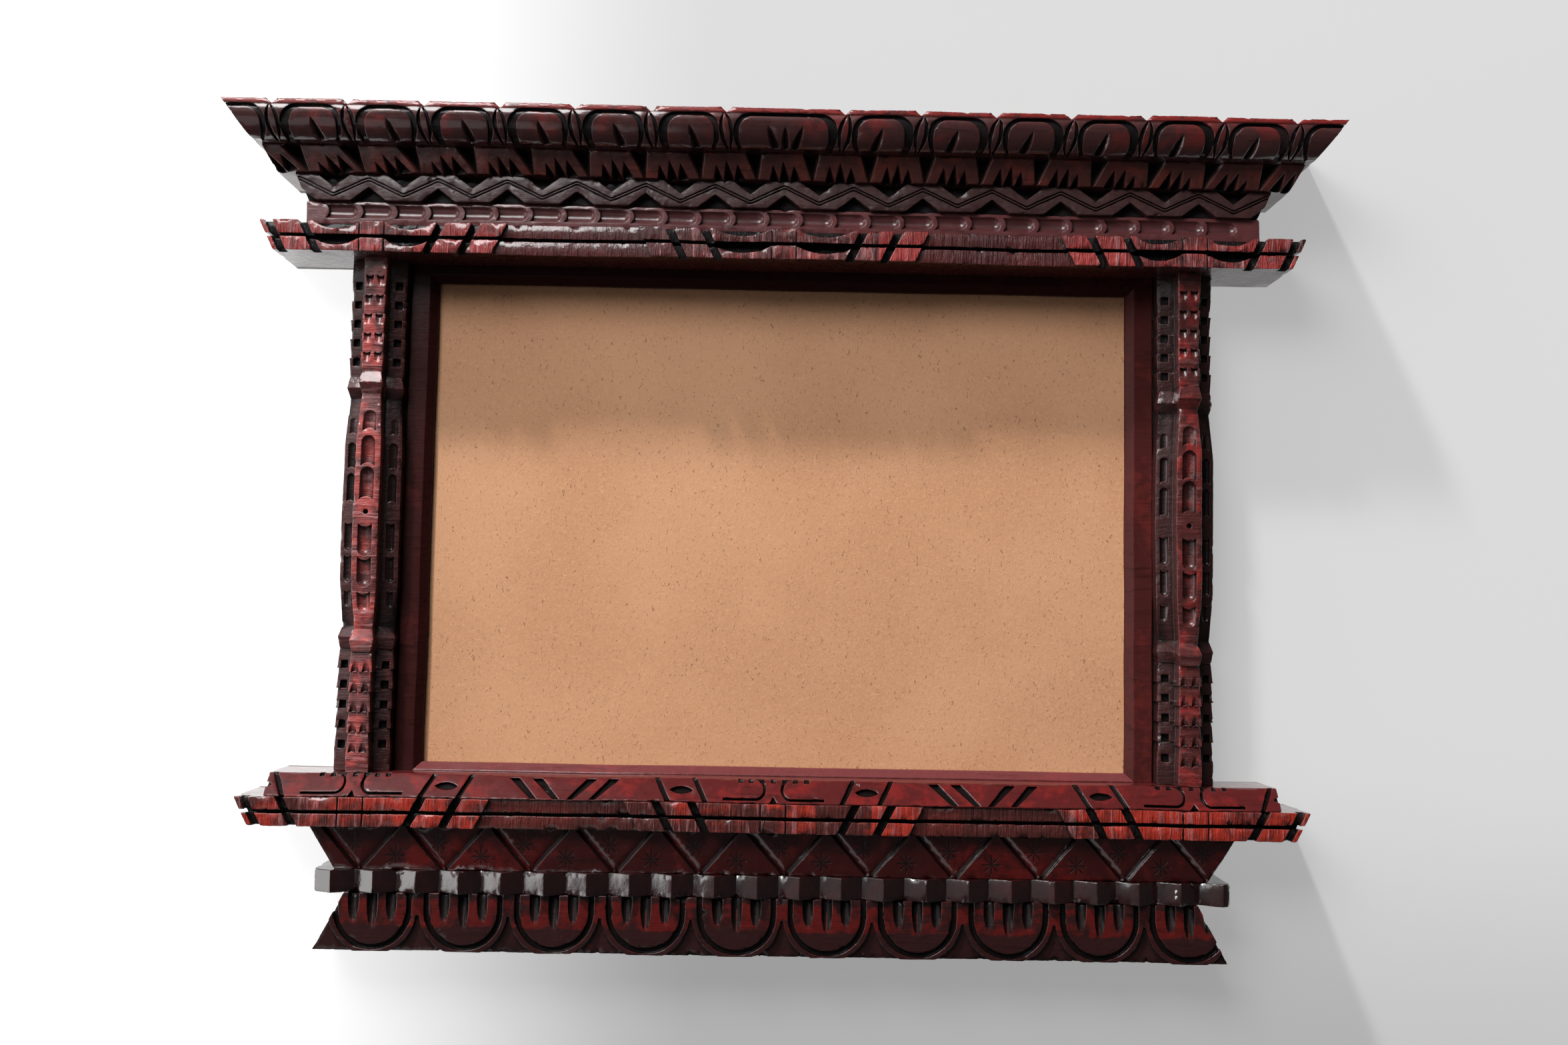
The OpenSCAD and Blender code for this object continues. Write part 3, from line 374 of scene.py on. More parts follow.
@dataclass(frozen=True)
class Lacquer:
    """Glossy lacquer on carved wood: brown on the flats, red where it is rubbed, with painted shade in black.

    The rubbing fades within fade behind the face, and a cut deeper than the hollow's two depths is
    painted black as shade, as are places that ambient occlusion within recess finds closed in. Above
    rim_z the edge is rubbed through to the red. Between the two heights of the band a lit band is
    painted: most places there are rubbed red, and fewer above and below it. blocks is how many lengths
    a metre take the lacquer differently. Between the two depths of the shade the colour turns to a
    painted shadow colour, and glint is the share of fibres painted pale as glints, painted highlights.
    Where the strip is gouged, a slope in its flat front is painted black as shade too.
    """

    name: str
    body: Colour = (0.045, 0.010, 0.009)
    # deep: the near-black used for painted shade in recesses and cuts, and also for dark grain and punch
    # marks
    deep: Colour = (0.004, 0.0018, 0.0018)
    rub: Colour = (0.230, 0.018, 0.014)
    painted_shadow: Colour = (0.014, 0.007, 0.007)
    painted_glint: Colour = (0.52, 0.22, 0.22)
    rubbed: float = 0.6
    run: GrainRun = GrainRun.ACROSS
    rough: float = 0.30
    relief: float = 0.45
    fibres: float = 1.0
    face: Optional[Face] = None
    fade: float = 0.003
    hollow: Optional[Pair] = None
    blocks: float = 0.0
    rim_z: Optional[float] = None
    band: Optional[Pair] = None
    punches: Optional[PunchRow] = None
    gouged: bool = False
    shade: Optional[Pair] = None
    glint: float = 0.0
    patch: float = 46.0
    coat: float = 0.9
    coat_rough: float = 0.10
    coat_ior: float = 1.6
    sheen: float = 0.25
    worn_edge: float = 0.0006
    recess: float = 0.007

    def build(self) -> bpy.types.Material:
        """Makes the material.

        Returns:
            The material.
        """
        material, sheet = Sheet.for_material(self.name)
        here = sheet.place()
        along = sheet.place(self.run.value)
        fibres = sheet.cloud(along, FIBRES)
        streaks = sheet.cloud(along, STREAKS)
        patches = sheet.cloud(here, Cloud(self.patch, 3.0, 0.55, 0.5))
        mottle = sheet.cloud(here, MOTTLE)
        normal = sheet.put("NewGeometry", {}).outputs["Normal"]
        round_edge = sheet.put("Bevel", {"Radius": self.worn_edge}, samples=4).outputs[0]
        edge = sheet.span(sheet.dot(normal, round_edge), 0.97, 0.80)
        open_sky = sheet.put("AmbientOcclusion", {"Distance": self.recess}, samples=6, only_local=True)
        clear = sheet.span(open_sky.outputs["AO"], 0.35, 0.92)
        at = sheet.put("SeparateXYZ", {0: here}).outputs
        depth = self.face.depth(sheet, at) if self.face else None
        facing = sheet.calc("MULTIPLY", sheet.put("SeparateXYZ", {0: normal}).outputs[1], -1.0)
        front = sheet.calc("MULTIPLY", sheet.span(facing, 0.55, 0.95), clear)
        rubbed = self._rubbed(sheet, at, depth, patches, mottle, front)
        # Painted shade: closed-in places, found by ambient occlusion, are darkened towards deep.
        colour = sheet.blend(clear, self.deep, self.body)
        colour = sheet.blend(rubbed, colour, self.rub)
        thin = sheet.span(sheet.cloud(along, THIN_COAT), 0.45, 0.62, 0.0, 0.4)
        thin_back = sheet.calc("MULTIPLY", sheet.span(facing, -0.6, -0.9), thin)
        colour = sheet.blend(thin_back, colour, self.rub)
        colour = sheet.blend(sheet.span(streaks, 0.54, 0.76, 0.0, 0.45), colour, self.deep)
        # Painted shadow: deeper places, such as the posts' flanks, darken towards the shadow colour.
        if self.shade:
            colour = sheet.blend(sheet.span(depth, *self.shade, 0.0, 0.65), colour, self.painted_shadow)
        # Painted highlights: pale glints along the fibres of the open front.
        if self.glint:
            painted_glint = sheet.calc("MULTIPLY", sheet.span(streaks, 0.53, 0.66, 0.0, self.glint), front)
            painted_glint = sheet.calc("MULTIPLY", painted_glint, sheet.span(depth, 0.4 * self.fade, self.fade, 1.0, 0.1))
            colour = sheet.blend(painted_glint, colour, self.painted_glint)
        open_edge = sheet.calc("MULTIPLY", edge, clear)
        scuffed = sheet.calc("MULTIPLY", open_edge, sheet.span(mottle, 0.42, 0.60, 0.0, 0.6))
        colour = sheet.blend(scuffed, colour, self.rub)
        rough = sheet.calc("ADD", sheet.span(mottle, 0.3, 0.7, self.rough - 0.06, self.rough + 0.12),
                           sheet.calc("MULTIPLY", sheet.calc("SUBTRACT", 1.0, clear), 0.15))
        height = sheet.calc("ADD", sheet.calc("MULTIPLY", fibres, 0.35 * self.fibres),
                            sheet.calc("ADD", sheet.calc("MULTIPLY", streaks, 0.7 * self.fibres), mottle))
        coat: Term = self.coat
        # Painted shade: deep cuts, and on gouged strips their steep slopes, turn deep and their coat thins.
        if self.hollow:
            painted_cut_shade = sheet.span(depth, *self.hollow)
            if self.gouged:
                painted_cut_shade = sheet.calc("MAXIMUM", painted_cut_shade, sheet.span(facing, 0.988, 0.955))
            painted_cut_shade = sheet.calc("MULTIPLY", painted_cut_shade, sheet.span(facing, 0.08, 0.25))
            colour = sheet.blend(painted_cut_shade, colour, self.deep)
            rough = sheet.calc("ADD", rough, sheet.calc("MULTIPLY", painted_cut_shade, 0.25))
            coat = sheet.calc("MULTIPLY", sheet.span(painted_cut_shade, 0.0, 1.0, 1.0, 0.25), self.coat)
        if self.punches:
            marks = self.punches.marks(sheet)
            colour = sheet.blend(sheet.calc("MULTIPLY", marks, 0.8), colour, self.deep)
            height = sheet.calc("SUBTRACT", height, sheet.calc("MULTIPLY", marks, 2.2))
        shaken = sheet.bump(height, 0.00045, self.relief, round_edge)
        skin = sheet.bump(mottle, 0.0003, 0.5 * self.relief, round_edge)
        shader = sheet.put("BsdfPrincipled", {
            "Base Color": colour, "Roughness": rough, "IOR": 1.5, "Specular IOR Level": self.sheen,
            "Normal": shaken, "Coat Weight": coat, "Coat Roughness": self.coat_rough,
            "Coat IOR": self.coat_ior, "Coat Normal": skin})
        sheet.finish(shader.outputs[0])
        return material

    def _rubbed(self, sheet: Sheet, at: bpy.types.NodeOutputs, depth: Optional[Socket], patches: Socket,
                mottle: Socket, open_front: Socket) -> Socket:
        """How far the lacquer is rubbed down to the red, from 0 to 1.

        Args:
            sheet: the material's node sheet.
            at: the place's three parts.
            depth: the depth behind the uncut front, if it is known.
            patches: a coarse noise.
            mottle: a fine noise.
            open_front: 1 on an open face that looks forwards.

        Returns:
            The share's socket.
        """
        uneven = sheet.calc("ADD", sheet.calc("MULTIPLY", patches, 0.7), sheet.calc("MULTIPLY", mottle, 0.3))
        if self.blocks:
            length = sheet.put("TexVoronoi", {"W": at[0], "Scale": self.blocks}, voronoi_dimensions="1D")
            drawn = sheet.put("SeparateColor", {0: length.outputs["Color"]}).outputs[0]
            drawn = sheet.calc("MULTIPLY", sheet.calc("SUBTRACT", drawn, 0.5), 0.22)
            uneven = sheet.calc("ADD", uneven, drawn)
        # Painted light: a lit band between its two heights, more rubbed red, with less rubbing above and
        # below.
        if self.band:
            low, high = self.band
            tall = high - low
            middle = sheet.calc("ABSOLUTE", sheet.calc("SUBTRACT", at[2], (low + high) / 2))
            uneven = sheet.calc("ADD", uneven, sheet.span(middle, tall * 0.36, tall * 0.56, 0.08, -0.1))
        share = sheet.span(uneven, 0.60 - 0.2 * self.rubbed, 0.68 - 0.1 * self.rubbed, 0.0, self.rubbed)
        if self.rim_z is not None:
            rim = sheet.span(at[2], self.rim_z - 0.0003, self.rim_z + 0.0005, 0.0, 0.85)
            share = sheet.calc("MAXIMUM", share, sheet.calc("MULTIPLY", rim, sheet.span(mottle, 0.3, 0.5)))
        share = sheet.calc("MULTIPLY", share, open_front)
        if depth is not None:
            share = sheet.calc("MULTIPLY", share, sheet.span(depth, 0.4 * self.fade, self.fade, 1.0, 0.12))
        return share


@dataclass(frozen=True)
class Fibreboard:
    """Bare pressed fibreboard, matt and tan, with fine light and dark flecks."""

    name: str = "fibreboard"
    tan: Colour = (0.48, 0.240, 0.125)
    pale: Colour = (0.62, 0.34, 0.19)
    dark: Colour = (0.20, 0.10, 0.05)

    def build(self) -> bpy.types.Material:
        """Makes the material.

        Returns:
            The material.
        """
        material, sheet = Sheet.for_material(self.name)
        here = sheet.place()
        drift = sheet.cloud(here, BOARD_DRIFT)
        fuzz = sheet.cloud(here, BOARD_FUZZ)
        chips = sheet.cloud(sheet.place((1.0, 1.0, 0.55), (0.3, 0.0, 0.1)), BOARD_CHIPS)
        hairs = sheet.cloud(sheet.place((0.4, 1.0, 1.0), (0.0, 0.0, 0.7)), BOARD_HAIRS)
        colour = sheet.blend(sheet.span(drift, 0.35, 0.65, 0.0, 0.35), self.tan, self.pale)
        colour = sheet.blend(sheet.span(fuzz, 0.42, 0.72, 0.0, 0.45), colour, self.pale)
        colour = sheet.blend(sheet.span(chips, 0.61, 0.71, 0.0, 0.8), colour, self.dark)
        colour = sheet.blend(sheet.span(hairs, 0.62, 0.72, 0.0, 0.7), colour, self.pale)
        normal = sheet.bump(sheet.calc("ADD", fuzz, chips), 0.0002, 0.35)
        shader = sheet.put("BsdfPrincipled", {
            "Base Color": colour, "Roughness": sheet.span(fuzz, 0.3, 0.7, 0.72, 0.9), "Normal": normal})
        sheet.finish(shader.outputs[0])
        return material


@dataclass(frozen=True)
class BareWood:
    """Turned wood without a finish, with fine end-to-end grain."""

    name: str = "bare_wood"
    light: Colour = (0.42, 0.24, 0.12)
    dark: Colour = (0.22, 0.11, 0.05)

    def build(self) -> bpy.types.Material:
        """Makes the material.

        Returns:
            The material.
        """
        material, sheet = Sheet.for_material(self.name)
        grain = sheet.cloud(sheet.place(GrainRun.UPRIGHT.value), WOOD_GRAIN)
        colour = sheet.blend(sheet.span(grain, 0.35, 0.7), self.light, self.dark)
        shader = sheet.put("BsdfPrincipled", {
            "Base Color": colour, "Roughness": sheet.span(grain, 0.3, 0.7, 0.55, 0.75),
            "Normal": sheet.bump(grain, 0.0002, 0.4)})
        sheet.finish(shader.outputs[0])
        return material


@dataclass(frozen=True)
class PlatedMetal:
    """Rolled and plated sheet metal, dulled unevenly, with fine rolling lines."""

    name: str
    bright: Colour
    dull: Colour
    rough: float
    worn_edge: float = 0.00015

    def build(self) -> bpy.types.Material:
        """Makes the material.

        Returns:
            The material.
        """
        material, sheet = Sheet.for_material(self.name)
        lines = sheet.cloud(sheet.place((1.0, 1.0, 0.05)), ROLLING)
        tarnish = sheet.cloud(sheet.place(), TARNISH)
        colour = sheet.blend(sheet.span(tarnish, 0.42, 0.68), self.bright, self.dull)
        rough = sheet.span(tarnish, 0.3, 0.7, self.rough - 0.08, self.rough + 0.16)
        round_edge = sheet.put("Bevel", {"Radius": self.worn_edge}, samples=4).outputs[0]
        normal = sheet.bump(sheet.calc("ADD", lines, tarnish), 0.00006, 0.5, round_edge)
        shader = sheet.put("BsdfPrincipled", {
            "Base Color": colour, "Metallic": 1.0, "Roughness": rough, "Normal": normal})
        sheet.finish(shader.outputs[0])
        return material


@dataclass(frozen=True)
class Carver:
    """Re-cuts a strip by hand: its lines wander a little and its edges are worn.

    Points closer than merge are made one, and so are faces that turn by less than level. An edge sharper
    than corner is a crease. The strip is cut into lengths of slice_w. Within front_depth of its front,
    creases are halved down to edge and other lines to flat, up to halvings times. Behind it, and between
    faces that look less than side_on forwards, they are halved down to hidden. sway, waver and
    chatter are how far points move, and sway_scale, waver_scale and chatter_scale how fine the noise is
    that moves them. wear and chips are how much the outer edges are rounded, everywhere and in the
    places where a noise of chip_scale is above chip_level.
    """

    slice_w: float = 0.008
    edge: float = 0.0013
    flat: float = 0.0026
    hidden: float = 0.012
    front_depth: float = 0.014
    sway: float = 0.0004
    sway_scale: float = 26.0
    waver: float = 0.00007
    waver_scale: float = 150.0
    chatter: float = 0.00006
    chatter_scale: float = 500.0
    wear: float = 0.12
    chips: float = 0.3
    chip_scale: float = 210.0
    chip_level: float = 0.30
    corner: float = math.radians(32)
    level: float = math.radians(0.5)
    merge: float = 0.000002
    halvings: int = 6
    side_on: float = 0.05

    def cut(self, node: str, name: str, axis: SliceAxis, finish: bpy.types.Material) -> bpy.types.Object:
        """Makes the hand-cut copy of a node, which stands in for it.

        Args:
            node: the node that is copied.
            name: the new piece's name.
            axis: the strip's long direction.
            finish: the piece's material.

        Returns:
            The new piece.
        """
        shape = bmesh.new()
        shape.from_mesh(frame["nodes"][node].data)
        bmesh.ops.remove_doubles(shape, verts=shape.verts, dist=self.merge)
        bmesh.ops.dissolve_limit(shape, angle_limit=self.level, verts=shape.verts, edges=shape.edges)
        low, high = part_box(node)
        self._slice(shape, axis, low, high)
        limit = low.y + self.front_depth
        self._refine(shape, limit)
        self._wander(shape)
        self._wear(shape, limit)
        bmesh.ops.recalc_face_normals(shape, faces=shape.faces)
        mesh = bpy.data.meshes.new(name)
        shape.to_mesh(mesh)
        shape.free()
        for extra in [a.name for a in mesh.attributes if a.name.startswith("custom_normal")]:
            mesh.attributes.remove(mesh.attributes[extra])
        mesh.materials.append(finish)
        piece = bpy.data.objects.new(name, mesh)
        bpy.context.scene.collection.objects.link(piece)
        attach(piece, "frame")
        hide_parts(node)
        return piece

    def _slice(self, shape: bmesh.types.BMesh, axis: SliceAxis, low: Vector, high: Vector) -> None:
        """Cuts the long faces into short lengths, and marks the corners as creases.

        Args:
            shape: the strip's mesh.
            axis: the strip's long direction.
            low: the lowest corner of its box.
            high: the highest corner of its box.
        """
        across = Vector((0.0, 0.0, 0.0))
        across[axis.value] = 1.0
        count = int((high[axis.value] - low[axis.value]) / self.slice_w)
        for step in range(1, count):
            at = across * (low[axis.value] + (high[axis.value] - low[axis.value]) * step / count)
            bmesh.ops.bisect_plane(shape, geom=[*shape.verts, *shape.edges, *shape.faces], dist=0.000001,
                                   plane_co=at, plane_no=across)
        bmesh.ops.triangulate(shape, faces=shape.faces, quad_method="BEAUTY", ngon_method="BEAUTY")
        shape.normal_update()
        for face in shape.faces:
            face.smooth = True
        for crease in shape.edges:
            crease.smooth = crease.calc_face_angle(0.0) < self.corner

    def _refine(self, shape: bmesh.types.BMesh, limit: float) -> None:
        """Halves the long edges of the carved front until they are short, above all the creases.

        Args:
            shape: the strip's mesh.
            limit: the depth in front of which it is refined.
        """
        for _ in range(self.halvings):
            long_ones = []
            for side in shape.edges:
                first, last = side.verts[0].co, side.verts[1].co
                if min(first.y, last.y) > limit:
                    most = self.hidden
                elif not side.smooth:
                    most = self.edge
                elif all(abs(f.normal.y) < self.side_on for f in side.link_faces):
                    most = self.hidden
                else:
                    most = self.flat
                if (first - last).length > most:
                    long_ones.append(side)
            if not long_ones:
                break
            bmesh.ops.subdivide_edges(shape, edges=long_ones, cuts=1)
            bmesh.ops.triangulate(shape, faces=[f for f in shape.faces if len(f.verts) > 3])
            shape.normal_update()

    def _wander(self, shape: bmesh.types.BMesh) -> None:
        """Moves each point by the same slow and quick wandering, so that touching strips still touch.

        Args:
            shape: the strip's mesh.
        """
        for point in shape.verts:
            place = point.co
            slow = noise.noise_vector(place * self.sway_scale)
            quick = noise.noise_vector(place * self.waver_scale + Vector((7.1, 3.3, 5.7)))
            move = slow * self.sway + quick * self.waver
            if any(not side.smooth for side in point.link_edges):
                fine = noise.noise_vector(place * self.chatter_scale + Vector((1.7, 9.2, 4.4)))
                move += fine * self.chatter
            point.co = place + move

    def _wear(self, shape: bmesh.types.BMesh, limit: float) -> None:
        """Rounds the outer edges of the front, more in some places than in others.

        Args:
            shape: the strip's mesh.
            limit: the depth in front of which it is worn.
        """
        outer = {v for e in shape.edges if not e.smooth and e.is_convex for v in e.verts if v.co.y < limit}
        axes = {"use_axis_x": True, "use_axis_y": True, "use_axis_z": True}
        bmesh.ops.smooth_vert(shape, verts=list(outer), factor=self.wear, **axes)
        chipped = [v for v in outer if noise.noise(v.co * self.chip_scale) > self.chip_level]
        bmesh.ops.smooth_vert(shape, verts=chipped, factor=self.chips, **axes)


@dataclass
class Finishes:
    """Every material of the frame, made once."""

    made: "dict[str, bpy.types.Material]" = field(default_factory=dict)

    def build(self) -> "Finishes":
        """Makes the materials.

        Returns:
            The same object, with its materials made.
        """
        # hollow: the deep gaps between the blocks are painted black as shade.
        beam = {"blocks": 52.0, "run": GrainRun.UPRIGHT, "face": Face(-0.0320), "hollow": (0.0022, 0.0030),
                "fade": 0.0012}
        # On the posts the flanks beside the column get a painted shadow, and the flank scoops painted shade.
        post = {"face": Face(-0.0240), "fade": 0.0045, "sheen": 0.15, "shade": (0.0045, 0.0062),
                "hollow": (0.0072, 0.0085), "patch": 90.0}
        kinds = (
            Lacquer("crown_lacquer", body=(0.058, 0.020, 0.020), rub=(0.20, 0.018, 0.015), rubbed=0.5,
                    relief=0.2, rim_z=0.0486, coat=1.0, coat_rough=0.08,
                    face=Face(-0.0345, 0.04775, radius=0.0135), hollow=(0.0010, 0.0017)),
            Lacquer("leaf_lacquer", body=(0.095, 0.028, 0.024), rub=(0.26, 0.045, 0.030), rubbed=0.6,
                    relief=0.4, face=Face(-0.0307, 0.02675, lean=-0.663), hollow=(0.0008, 0.0018),
                    patch=80.0),
            Lacquer("zigzag_lacquer", body=(0.055, 0.024, 0.023), rub=(0.10, 0.024, 0.022), rubbed=0.25,
                    rough=0.4, coat=0.3, coat_rough=0.2, face=Face(-0.0285), hollow=(0.0012, 0.0024),
                    relief=0.6),
            Lacquer("bead_lacquer", body=(0.130, 0.038, 0.040), rub=(0.20, 0.035, 0.035), rubbed=0.3,
                    rough=0.35, coat=0.7, coat_rough=0.12, face=Face(-0.0260), hollow=(0.0012, 0.0028)),
            Lacquer("lintel_lacquer", body=(0.080, 0.018, 0.018), rub=(0.34, 0.040, 0.036), rubbed=0.9,
                    fibres=5.0, relief=1.0, glint=0.55, **beam),
            Lacquer("beam_lacquer", body=(0.060, 0.014, 0.012), rub=(0.34, 0.026, 0.014), rubbed=0.85,
                    fibres=3.5, relief=0.9, glint=0.3, **beam),
            # The left post's copy is brighter, with more glints: painted light, as the lamps stand to the
            # left.
            Lacquer("lit_post_lacquer", body=(0.100, 0.030, 0.030), rub=(0.38, 0.060, 0.052), rubbed=0.8,
                    relief=0.8, glint=0.5, fibres=2.0, **post),
            Lacquer("post_lacquer", body=(0.062, 0.016, 0.015), rub=(0.25, 0.026, 0.023), rubbed=0.7,
                    relief=1.1, glint=0.12, **post),
            Lacquer("sill_lacquer", body=(0.066, 0.009, 0.009), rub=(0.21, 0.014, 0.012), rubbed=0.6,
                    sheen=0.10, relief=0.25, face=Face(-0.0255, -0.21765, lean=0.753),
                    hollow=(0.0008, 0.0016), patch=80.0),
            Lacquer("frieze_lacquer", body=(0.042, 0.0035, 0.0035), rub=(0.17, 0.0075, 0.006), rubbed=0.5,
                    punches=PunchRow(), sheen=0.15, recess=0.002, coat_ior=1.9),
            # The dentils are darkened: painted shade under the sill beam.
            Lacquer("dentil_lacquer", body=(0.016, 0.003, 0.003), rub=(0.06, 0.004, 0.004), rubbed=0.25,
                    run=GrainRun.UPRIGHT, sheen=0.10, coat_ior=2.2),
            # On the apron, band paints a lit band, and hollow and gouged paint the cuts black as shade.
            Lacquer("apron_lacquer", body=(0.024, 0.007, 0.007), rub=(0.14, 0.007, 0.005), rubbed=0.5,
                    sheen=0.15, face=Face(-0.0250), hollow=(0.00165, 0.0020), gouged=True,
                    band=(-0.2775, -0.2650), patch=80.0),
            # Lit and shaded copies of the inner moulding: the top rail and left stile darker, painted shade;
            # the bottom rail brighter, painted light.
            Lacquer("shaded_inner_lacquer", body=(0.032, 0.008, 0.0075), rub=(0.09, 0.014, 0.012), rubbed=0.4,
                    relief=0.3, sheen=0.06, coat=0.14, coat_rough=0.2),
            Lacquer("dull_lacquer", body=(0.050, 0.011, 0.010), rub=(0.13, 0.018, 0.015), rubbed=0.5,
                    relief=0.3, rough=0.5, sheen=0.05, coat=0.08, coat_rough=0.2),
            Lacquer("lit_foot_lacquer", body=(0.110, 0.026, 0.027), rub=(0.22, 0.030, 0.030), rubbed=0.5,
                    relief=0.6, coat=0.8),
            Fibreboard(),
            BareWood(),
            PlatedMetal("steel", (0.60, 0.61, 0.62), (0.38, 0.39, 0.40), 0.34),
            PlatedMetal("brass", (0.62, 0.42, 0.16), (0.36, 0.24, 0.10), 0.36),
        )
        for kind in kinds:
            self.made[kind.name] = kind.build()
        return self

    def __getitem__(self, name: str) -> bpy.types.Material:
        """Finds a material.

        Args:
            name: its name.

        Returns:
            The material.
        """
        return self.made[name]


def dress(node: str, finish: bpy.types.Material) -> bpy.types.Object:
    """Gives a CAD node a material.

    Args:
        node: the node's name.
        finish: the material.

    Returns:
        The node's object.
    """
    piece = frame["nodes"][node]
    piece.data.materials.clear()
    piece.data.materials.append(finish)
    return piece


def report(group: str, pieces: "list[bpy.types.Object]") -> None:
    """Reports a sub-assembly's pieces.

    Args:
        group: the sub-assembly.
        pieces: its pieces.
    """
    for piece in pieces:
        LOG.info("%s: %s, %d faces", group, piece.name, len(piece.data.polygons))


@dataclass
class Strips:
    """A stack of carved strips that lie on each other."""

    finishes: Finishes
    carver: Carver = field(default_factory=Carver)
    title: str = "strips"

    def layers(self) -> "list[tuple[str, str, str]]":
        """Each strip's node, finish and record slot, from the top."""
        return []

    def build(self) -> "list[bpy.types.Object]":
        """Makes the strips.

        Returns:
            The new pieces.
        """
        pieces = []
        for node, finish, slot in self.layers():
            piece = self.carver.cut(node, node + "_carved", SliceAxis.ACROSS, self.finishes[finish])
            pieces.append(piece or piece)
        return pieces


@dataclass
class Cornice(Strips):
    """The strips above the window, down to the lintel, with the pegs that run through them.

    The crown's petals curl back from the first height of curl_span, by curl times the square of the
    height above it, and less and less between the other two heights. Above those the rim, which goes
    back above rim_axis, is bent forwards again by rim_bend.
    """

    curl_span: Triple = (0.0455, 0.0485, 0.0490)
    curl: float = 34.0
    rim_axis: float = 0.04775
    rim_bend: float = 40.0
    title: str = "cornice"

    def layers(self) -> "list[tuple[str, str, str]]":
        """Each strip's node, finish and record slot, from the top."""
        return [("crown_band", "crown_lacquer", "red_lacquer"), ("leaf_band", "leaf_lacquer", "red_lacquer"),
                ("zigzag_band", "zigzag_lacquer", "dark_lacquer"),
                ("bead_band", "bead_lacquer", "dark_lacquer"),
                ("lintel", "lintel_lacquer", "red_lacquer")]

    def build(self) -> "list[bpy.types.Object]":
        """Makes the strips, curls the petals back, keeps the rim above them upright, and dresses the pegs.

        Returns:
            The pieces.
        """
        strips = super().build()
        low, top, end = self.curl_span
        for point in strips[0].data.vertices:
            share = min(max((end - point.co.z) / (end - top), 0.0), 1.0)
            curled = max(point.co.z - low, 0.0) ** 2 * self.curl
            upright = max(point.co.z - self.rim_axis, 0.0) ** 2 * self.rim_bend
            point.co.y += curled * share - upright * (1.0 - share)
        return [*strips, dress("cornice_pegs", self.finishes["bare_wood"])]


@dataclass
class SillStack(Strips):
    """The strips below the window, from the sill moulding to the apron, with their pegs."""

    title: str = "sill stack"

    def layers(self) -> "list[tuple[str, str, str]]":
        """Each strip's node, finish and record slot, from the top."""
        finishes = {"sill_moulding": "sill_lacquer", "sill_beam": "beam_lacquer",
                    "frieze_panel": "frieze_lacquer", "dentil_beam": "dentil_lacquer",
                    "apron_band": "apron_lacquer"}
        return [(node, finish, "red_lacquer") for node, finish in finishes.items()]

    def build(self) -> "list[bpy.types.Object]":
        """Makes the strips and dresses the pegs.

        Returns:
            The pieces.
        """
        return [*super().build(), dress("sill_pegs", self.finishes["bare_wood"])]


@dataclass
class Posts:
    """The two carved posts beside the window.

    Beyond column_half from a column's middle its flanks fall away by flank_slope: not at all at the
    frame's back, and in full from full_depth in front of it.
    """

    finishes: Finishes
    carver: Carver = field(default_factory=lambda: Carver(edge=0.0011, flat=0.0018, front_depth=0.013))
    column_half: float = 0.00525
    flank_slope: float = 0.2
    full_depth: float = 0.010
    title: str = "posts"

    def build(self) -> "list[bpy.types.Object]":
        """Makes the posts.

        Returns:
            The new pieces.
        """
        pieces = []
        # The left post takes the lit copy: painted light.
        for node, finish in (("left_post", "lit_post_lacquer"), ("right_post", "post_lacquer")):
            piece = self.carver.cut(node, node + "_carved", SliceAxis.UPRIGHT, self.finishes[finish])
            self._lean_flanks(piece, sum(corner.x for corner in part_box(node)) / 2)
            pieces.append(piece or piece)
        return pieces

    def _lean_flanks(self, piece: bpy.types.Object, middle: float) -> None:
        """Lets the flanks beside the raised column fall away to the sides.

        Args:
            piece: the carved post.
            middle: where the middle of the column is, in x.
        """
        for point in piece.data.vertices:
            front = min(max(-point.co.y / self.full_depth, 0.0), 1.0)
            beside = max(abs(point.co.x - middle) - self.column_half, 0.0)
            point.co.y += front * beside * self.flank_slope


@dataclass
class InnerFrame:
    """The plain moulded rails and stiles round the window, and the board behind them."""

    finishes: Finishes
    carver: Carver = field(default_factory=lambda: Carver(
        edge=0.003, flat=0.005, front_depth=0.009, sway=0.0003, waver=0.00003, wear=0.0, chips=0.0))
    title: str = "inner frame"

    def build(self) -> "list[bpy.types.Object]":
        """Makes the mouldings and dresses the board.

        Returns:
            The pieces.
        """
        pieces = []
        # The top rail and left stile take the shaded copy and the bottom rail the lit copy: painted shade and
        # light.
        runs = (("rail_top", SliceAxis.ACROSS, "shaded_inner_lacquer"),
                ("rail_bottom", SliceAxis.ACROSS, "lit_foot_lacquer"),
                ("stile_left", SliceAxis.UPRIGHT, "shaded_inner_lacquer"),
                ("stile_right", SliceAxis.UPRIGHT, "dull_lacquer"))
        for node, axis, finish in runs:
            piece = self.carver.cut(node, node + "_cut", axis, self.finishes[finish])
            pieces.append(piece or piece)
        pieces.append(dress("backing_board", self.finishes["fibreboard"]))
        return pieces


@dataclass
class RearHardware:
    """The turn buttons that hold the board, and the ring hangers."""

    finishes: Finishes
    title: str = "rear hardware"

    def build(self) -> "list[bpy.types.Object]":
        """Dresses the hardware.

        Returns:
            The pieces.
        """
        steel = [n for n in frame["nodes"] if n.startswith("button")]
        brass = [n for n in frame["nodes"] if n.startswith("hanger")]
        return [*(dress(n, self.finishes["steel"]) for n in steel),
                *(dress(n, self.finishes["brass"]) for n in brass)]


